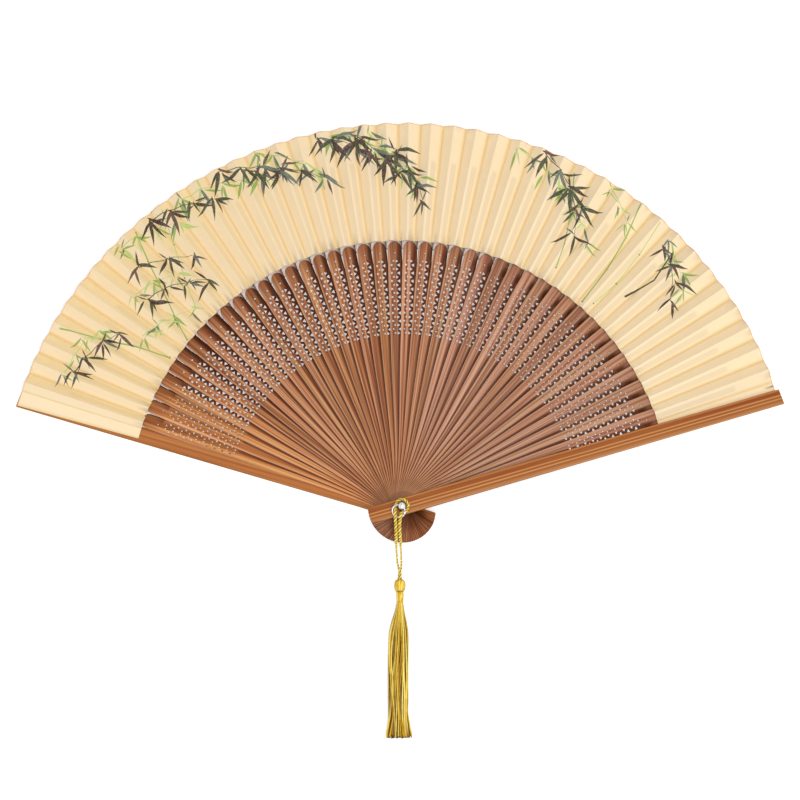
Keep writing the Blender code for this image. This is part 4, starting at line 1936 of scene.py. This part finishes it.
@dataclass
class BambooPrint:
    """A common bamboo print: thin stalks with nodes, and sprays of pointed leaves."""

    draw: random.Random = field(default_factory=lambda: random.Random(20))
    marks: list[Mark] = field(default_factory=list)
    soft: tuple[Ink, ...] = (Ink.GREEN, Ink.PALE, Ink.GREEN, Ink.SLATE)
    firm: tuple[Ink, ...] = (Ink.PURPLE, Ink.DARK, Ink.PURPLE, Ink.PLUM, Ink.DARK, Ink.SLATE)
    twig: float = 0.0005
    ring: float = 0.0004

    @staticmethod
    def at(degrees: float, r: float) -> Vector:
        """A place in plan at an angle and a distance in millimetres from the pivot."""
        turn = math.radians(degrees)
        return Vector((r * math.cos(turn), r * math.sin(turn))) / 1000

    def leaf(self, base: Vector, heading: float, length: float, ink: Ink) -> None:
        """Paints a leaf with one long point.

        Args:
            base: Where it starts.
            heading: The direction it points, in radians.
            length: Its length.
            ink: Its colour.
        """
        bend = self.draw.uniform(-0.4, 0.4)
        widest = length * self.draw.uniform(0.056, 0.082)
        left, right = [], []
        place = base.copy()
        for step in range(9):
            share = step / 8
            turn = heading + bend * (share - 0.3)
            half = widest * max(0.0, math.sin(math.pi * share**0.75)) ** 1.15
            side = Vector((-math.sin(turn), math.cos(turn))) * half
            right.append(tuple(place - side))
            if 0 < step < 8:
                left.append(tuple(place + side))
            place = place + Vector((math.cos(turn), math.sin(turn))) * length / 8
        self.marks.append(Mark(tuple(right + left[::-1]), ink))

    def stroke(self, points: Sequence[Vector], widths: Sequence[float], ink: Ink) -> None:
        """Paints a line whose width changes.

        Args:
            points: Where it runs.
            widths: Its width at each point.
            ink: Its colour.
        """
        left, right = [], []
        for number, place in enumerate(points):
            ahead = ahead_at(points, number)
            side = Vector((-ahead.y, ahead.x)).normalized() * widths[number] / 2
            left.append(tuple(place + side))
            right.append(tuple(place - side))
        self.marks.append(Mark(tuple(right + left[::-1]), ink))

    def spray(
        self, base: Vector, heading: float, count: int, length: float, inks: Sequence[Ink]
    ) -> None:
        """Paints leaves that fan out from one point, and now and then one that points back.

        Args:
            base: The point.
            heading: The direction of the middle one, in radians.
            count: How many.
            length: How long the longest is.
            inks: The colours to draw from.
        """
        spread = 0.45 + 0.13 * count
        for number in range(count):
            share = number / max(1, count - 1) - 0.5
            turn = heading + share * 2 * spread + self.draw.uniform(-0.3, 0.3)
            size = length * (1 - 0.45 * self.draw.random())
            shift = Vector((self.draw.uniform(-1, 1), self.draw.uniform(-1, 1))) * 0.0017
            self.leaf(base + shift, turn, size, self.draw.choice(inks))
        if self.draw.random() < 0.6:
            back = heading + math.pi + self.draw.uniform(-0.9, 0.9)
            self.leaf(base, back, length * self.draw.uniform(0.4, 0.65), self.draw.choice(inks))

    def branch(
        self, start: Vector, end: Vector, joints: int, size: float, inks: Sequence[Ink], count: int
    ) -> None:
        """Paints a twig in a soft arc, with a spray of leaves at each of its joints.

        Args:
            start: Where it starts.
            end: Where it ends.
            joints: How many joints it has.
            size: The length of a leaf.
            inks: The leaves' colours.
            count: The number of leaves in a spray.
        """
        ahead = end - start
        aside = Vector((-ahead.y, ahead.x)).normalized() * self.draw.uniform(0.001, 0.003)
        points, last = [], joints - 1
        for number in range(joints):
            share = number / last
            wander = Vector((self.draw.uniform(-1, 1), self.draw.uniform(-1, 1))) * 0.0008
            points.append(start + ahead * share + aside * 4 * share * (1 - share) + wander)
        self.stroke(points, [self.twig * (1 - 0.6 * i / last) for i in range(joints)], inks[1])
        for number, place in enumerate(points):
            out = (points[max(1, number)] - points[max(1, number) - 1]).normalized() * 0.5
            lean = math.atan2(out.y - 1, out.x)
            leaves = count + self.draw.randint(-1, 1)
            self.spray(place, lean, leaves, size * self.draw.uniform(0.8, 1.1), inks)

    def stalk(self, points: Sequence[Vector], ink: Ink, width: float) -> None:
        """Paints a stalk of straight lengths with a dark ring at each joint.

        Args:
            points: Its joints.
            ink: Its colour.
            width: Its width.
        """
        for start, end in zip(points, points[1:]):
            ahead = (end - start).normalized()
            first, last = start + ahead * self.ring, end - ahead * self.ring
            middle = (first + last) / 2
            self.stroke([first, middle, last], [width, width * 0.72, width], ink)
            side = Vector((-ahead.y, ahead.x)) * width * 0.7
            self.stroke([end - side, end + side], [self.ring, self.ring], Ink.PURPLE)

    def compose(self) -> list[Mark]:
        """Lays out the whole print.

        Returns:
            Its marks, the first one lowest.
        """
        at = self.at
        for ink, width, joints in (
            (Ink.GREEN, 0.0008, ((152, 190), (150.5, 172), (148.5, 154), (146.5, 136))),
            (
                Ink.GREEN, 0.0007,
                ((133.5, 190), (135.5, 174), (137.5, 158), (140, 143), (141.5, 134)),
            ),
            (Ink.PALE, 0.0006, ((128.5, 189), (130.5, 172), (133, 156), (135.5, 141))),
            (Ink.GREEN, 0.0008, ((52, 190), (50.5, 172), (49.5, 154), (49, 134))),
            (Ink.PALE, 0.0006, ((48, 189), (47, 170), (46.5, 152), (47, 137))),
            (Ink.GREEN, 0.0006, ((63, 186), (60.5, 168), (58.5, 152), (57.5, 140))),
        ):
            self.stalk([at(*joint) for joint in joints], ink, width)
        soft = (
            (158, 178, 149, 172, 4, 0.010, 4), (137, 189, 128, 180, 4, 0.011, 4),
            (125, 187, 113, 178, 5, 0.012, 4), (112, 188, 104, 172, 5, 0.012, 4),
            (101, 188, 93, 176, 4, 0.012, 4), (95, 186, 87, 162, 5, 0.011, 4),
            (146, 152, 136, 143, 4, 0.010, 4), (141, 168, 134, 160, 3, 0.010, 4),
            (72, 187, 64, 176, 4, 0.011, 4), (64, 176, 55, 158, 4, 0.010, 4),
            (45, 185, 38, 172, 4, 0.010, 4), (57, 188, 52, 178, 3, 0.009, 3),
        )
        firm = (
            (157, 174, 148, 164, 4, 0.013, 4), (131, 188, 121, 179, 4, 0.014, 4),
            (118, 189, 109, 178, 4, 0.015, 5), (113, 182, 103, 168, 4, 0.014, 4),
            (103, 188, 95, 176, 4, 0.015, 5), (97, 185, 90, 165, 4, 0.015, 5),
            (91, 176, 86, 152, 4, 0.013, 4), (140, 162, 130, 148, 4, 0.013, 4),
            (137, 176, 129, 162, 3, 0.012, 4), (68, 188, 60, 172, 4, 0.014, 5),
            (62, 177, 58, 158, 3, 0.014, 4), (45, 182, 38, 166, 4, 0.013, 4),
        )
        for inks, branches in ((self.soft, soft), (self.firm, firm)):
            for turn, r, end_turn, end_r, *sizes, count in branches:
                self.branch(at(turn, r), at(end_turn, end_r), *sizes, inks, count)
        widths = (0.0005, 0.0008, 0.0010)
        self.stroke([at(43.5, 182), at(42.2, 166), at(43.6, 150)], widths, Ink.DARK)
        return self.marks


@dataclass
class Leaf:
    """The leaf: one half panel for each side of each fold, with the print in its front faces."""

    scale: float = 1000.0
    flat_width: float = 0.010
    flat_length: float = 0.0586

    def share_and_reach(self, place: Vector, first: Crease, second: Crease) -> Pair:
        """Where a point lies between two creases, and how far from the pivot."""
        turn = math.atan2(place.y, place.x)
        return (turn - first.angle) / (second.angle - first.angle), place.length

    def raised(self, place: Vector, first: Crease, second: Crease) -> Vector:
        """Lifts a point in plan onto the half panel.

        Args:
            place: The point.
            first: The crease that the panel starts at.
            second: The crease that it ends at.

        Returns:
            The point in space.
        """
        share, reach = self.share_and_reach(place, first, second)
        height = (1 - share) * first.height(reach) + share * second.height(reach)
        return Vector((*place, height))

    def faces_of(
        self, quad: Sequence[Vector], inner: Sequence[Vector], marks: Sequence[Mark]
    ) -> tuple[list[Vector], list[tuple[int, ...]], list[Mark | None]]:
        """Splits a half panel into triangles along the outlines of the marks on it.

        Args:
            quad: The panel's corners in plan.
            inner: More points on its edges and inside it, which carry its map.
            marks: The print.

        Returns:
            The points, the triangles, and the mark that each shows, if any.
        """
        low_x, high_x = min(p.x for p in quad), max(p.x for p in quad)
        low_y, high_y = min(p.y for p in quad), max(p.y for p in quad)
        points = [p * self.scale for p in (*quad, *inner)]
        loops, shown = [list(range(len(quad)))], []
        for mark in marks:
            left, right, bottom, top = mark.reach()
            if right < low_x or left > high_x or top < low_y or bottom > high_y:
                continue
            loops.append(list(range(len(points), len(points) + len(mark.outline))))
            points.extend(Vector(p) * self.scale for p in mark.outline)
            shown.append(mark)
        places, _, triangles, _, _, sources = delaunay_2d_cdt(points, [], loops, 1, 0.00001)
        faces, found = [], []
        for triangle, source in zip(triangles, sources):
            if 0 in source:
                faces.append(tuple(triangle))
                top = max(source)
                found.append(shown[top - 1] if top else None)
        used = sorted({index for face in faces for index in face})
        new = {old: number for number, old in enumerate(used)}
        faces = [tuple(new[index] for index in face) for face in faces]
        return [Vector(places[old]) / self.scale for old in used], faces, found

    def build_panel(
        self, number: int, marks: Sequence[Mark], finishes: Sequence[Material]
    ) -> Piece:
        """Builds one half panel.

        Args:
            number: Its number from the rear guard.
            marks: The print.
            finishes: The materials of its front and back.

        Returns:
            The panel.
        """
        first, second = PLAN.creases()[number : number + 2]
        inner_1, outer_1 = PLAN.edges(first.angle)
        inner_2, outer_2 = PLAN.edges(second.angle)
        quad = [second.in_plan(inner_2), second.in_plan(outer_2)]
        quad += [first.in_plan(outer_1), first.in_plan(inner_1)]
        inside = []
        for step in range(10):
            for across in (0.25, 0.5, 0.75):
                low, high = quad[3].lerp(quad[0], across), quad[2].lerp(quad[1], across)
                inside.append(low.lerp(high, step / 9))
        places, faces, found = self.faces_of(quad, inside, marks)
        mesh = bpy.data.meshes.new(f"leaf_{number:02d}")
        mesh.from_pydata([self.raised(p, first, second) for p in places], [], faces)
        paint = mesh.color_attributes.new("print", "FLOAT_COLOR", "CORNER")
        folds = mesh.uv_layers.new(name="fold")
        rims = mesh.uv_layers.new(name="rim")
        offset = 0.0 if first.rise > 0 else 2.0
        for face, mark in zip(mesh.polygons, found):
            ink = (*mark.ink.value, 1.0) if mark else (1.0, 1.0, 1.0, 0.0)
            for loop in face.loop_indices:
                paint.data[loop].color = ink
                place = places[mesh.loops[loop].vertex_index]
                share, reach = self.share_and_reach(place, first, second)
                folds.data[loop].uv = (share + offset, reach)
                outer = outer_1 + (outer_2 - outer_1) * share
                rims.data[loop].uv = (outer - reach, 0.0)
        panel = linked(mesh.name, mesh)
        for finish in finishes:
            mesh.materials.append(finish)
        smooth(panel)
        edit(panel, "EDGE")
        bpy.ops.mesh.select_all(action="DESELECT")
        bpy.ops.mesh.select_non_manifold()
        bpy.ops.mesh.mark_sharp()
        leave_edit()
        back = {"material_offset": 1, "material_offset_rim": 1}
        modify(panel, "SOLIDIFY", keep=True, thickness=PLAN.leaf_t, offset=-1.0, **back)
        return panel

    def hold(self, panel: Piece, number: int) -> None:
        """Says which slat a half panel moves with.

        Args:
            panel: The half panel.
            number: Its number from the rear guard.
        """
        creases = PLAN.creases()
        last = len(creases) - 2
        if number in (0, last):
            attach(panel, "rear_guard" if number == 0 else "front_guard")
            return
        rib = number // 2
        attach(panel, f"rib_{rib:02d}" if rib else "rear_guard")
        if number % 2 == 0:
            anchor = (0.0, 0.0, PLAN.level(rib) + 0.00010)
            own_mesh(panel)
            return
        valley, mountain = creases[number : number + 2]
        middle = (PLAN.leaf_r + PLAN.leaf_inner_r) / 2
        start = valley.at(middle)
        along = Vector((*valley.in_plan(1.0), valley.rise)).normalized()
        across = mountain.at(middle) - start
        across -= along * across.dot(along)
        across.normalize()
        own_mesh(panel)

    def build(self) -> None:
        """Builds the whole leaf."""
        finish = LeafFinish()
        finishes = [finish.material(True), finish.material(False)]
        marks = BambooPrint().compose()
        numbers = range(len(PLAN.creases()) - 1)
        panels = [self.build_panel(number, marks, finishes) for number in numbers]
        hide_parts("leaf")
        flap = panels[-2]
        for number, panel in enumerate(panels):
            self.hold(panel, number)
            if panel is flap:
                continue
        LOG.info("%d half panels with %d marks", len(panels), len(marks))


# The rivet


@dataclass
class Rivet:
    """The rivet: a shaft with a ball on top, a washer under the rear guard, and the ring."""

    shaft_r: float = 0.0009
    ball_r: float = 0.0020
    ball_up: float = 0.0029
    washer_r: float = 0.0023
    washer_t: float = 0.0006
    washer_fit: float = 0.0001
    ring_r: float = 0.0031
    wire_r: float = 0.0004
    shown_wire_r: float = 0.00047
    tunnel_gap: float = 0.00025
    rest_gap: float = 0.00012
    heading: float = math.radians(236.5)

    def ring_place(self) -> Matrix:
        """Where the ring lies: through the ball's middle, down to the front guard.

        Returns:
            The ring's place and turn.
        """
        drop = self.ball_up - self.rest_gap - self.wire_r
        tilt = math.asin(drop / (2 * self.ring_r))
        turn = Matrix.Rotation(self.heading, 4, "Z") @ Matrix.Rotation(tilt, 4, "Y")
        ball = Vector((0.0, 0.0, PLAN.front_face + self.ball_up))
        return Matrix.Translation(ball + turn @ Vector((self.ring_r, 0.0, 0.0))) @ turn

    def torus(self, name: str, wire: float, around: int, sides: int) -> Piece:
        """Makes a round ring where the ring lies.

        Args:
            name: Its name.
            wire: The radius of its wire.
            around: The number of steps round it.
            sides: The number of sides of the wire.

        Returns:
            The ring.
        """
        put_down()
        steps = {"major_segments": around, "minor_segments": sides}
        bpy.ops.mesh.primitive_torus_add(major_radius=self.ring_r, minor_radius=wire, **steps)
        ring = made_piece(name)
        ring.data.transform(self.ring_place())
        return ring

    def ball_profile(self) -> list[Pair]:
        """The shaft and the ball, from the foot up.

        Returns:
            The radius and height of each ring.
        """
        face = PLAN.front_face
        middle = face + self.ball_up
        meet = math.asin(self.shaft_r / self.ball_r)
        collar = self.shaft_r * 1.35
        profile = [(self.shaft_r * 0.8, 0.0), (self.shaft_r, 0.0002), (self.shaft_r, face + 0.0001)]
        profile += [(collar, face + 0.00015), (collar, face + 0.0005)]
        profile.append((self.shaft_r, face + 0.0007))
        steps = 18
        for step in range(steps + 1):
            turn = math.pi - meet - (math.pi - meet - 0.06) * step / steps
            profile.append((self.ball_r * math.sin(turn), middle + self.ball_r * math.cos(turn)))
        return profile

    def finish(self, piece: Piece, node: str, steel: Material) -> None:
        """Shades a steel piece and puts it on the rivet."""
        smooth_by_angle(piece, 40.0)
        dress(piece, [steel], Slot.STEEL, "rivet", node)

    def build(self) -> None:
        """Builds the rivet with its washer and ring."""
        steel = SteelFinish().material()
        knob = turned_piece("knob", self.ball_profile(), 40)
        cut(knob, self.torus("tunnel", self.wire_r + self.tunnel_gap, 48, 16))
        self.finish(knob, "rivet_pin", steel)
        self.finish(self.torus("wire_ring", self.shown_wire_r, 72, 20), "tassel_ring", steel)
        outer, high, edge = self.washer_r, self.washer_t, 0.0001
        profile = [(outer - edge, 0.0), (outer, edge), (outer, high - edge), (outer - edge, high)]
        washer = turned_piece("foot_washer", profile, 48)
        cut(washer, cylinder("drill", 32, self.shaft_r + self.washer_fit, 0.004))
        self.finish(washer, "rivet_washer", steel)


def main() -> None:
    """Builds the fan in its studio."""
    logging.basicConfig(level=logging.INFO, format="%(name)s: %(message)s")
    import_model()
    put_down()
    Studio().build()
    Tassel().build(CordLoop())
    Rivet().build()
    Guards().build()
    Rib().build()
    Leaf().build()


if __name__ == "__main__":
    main()
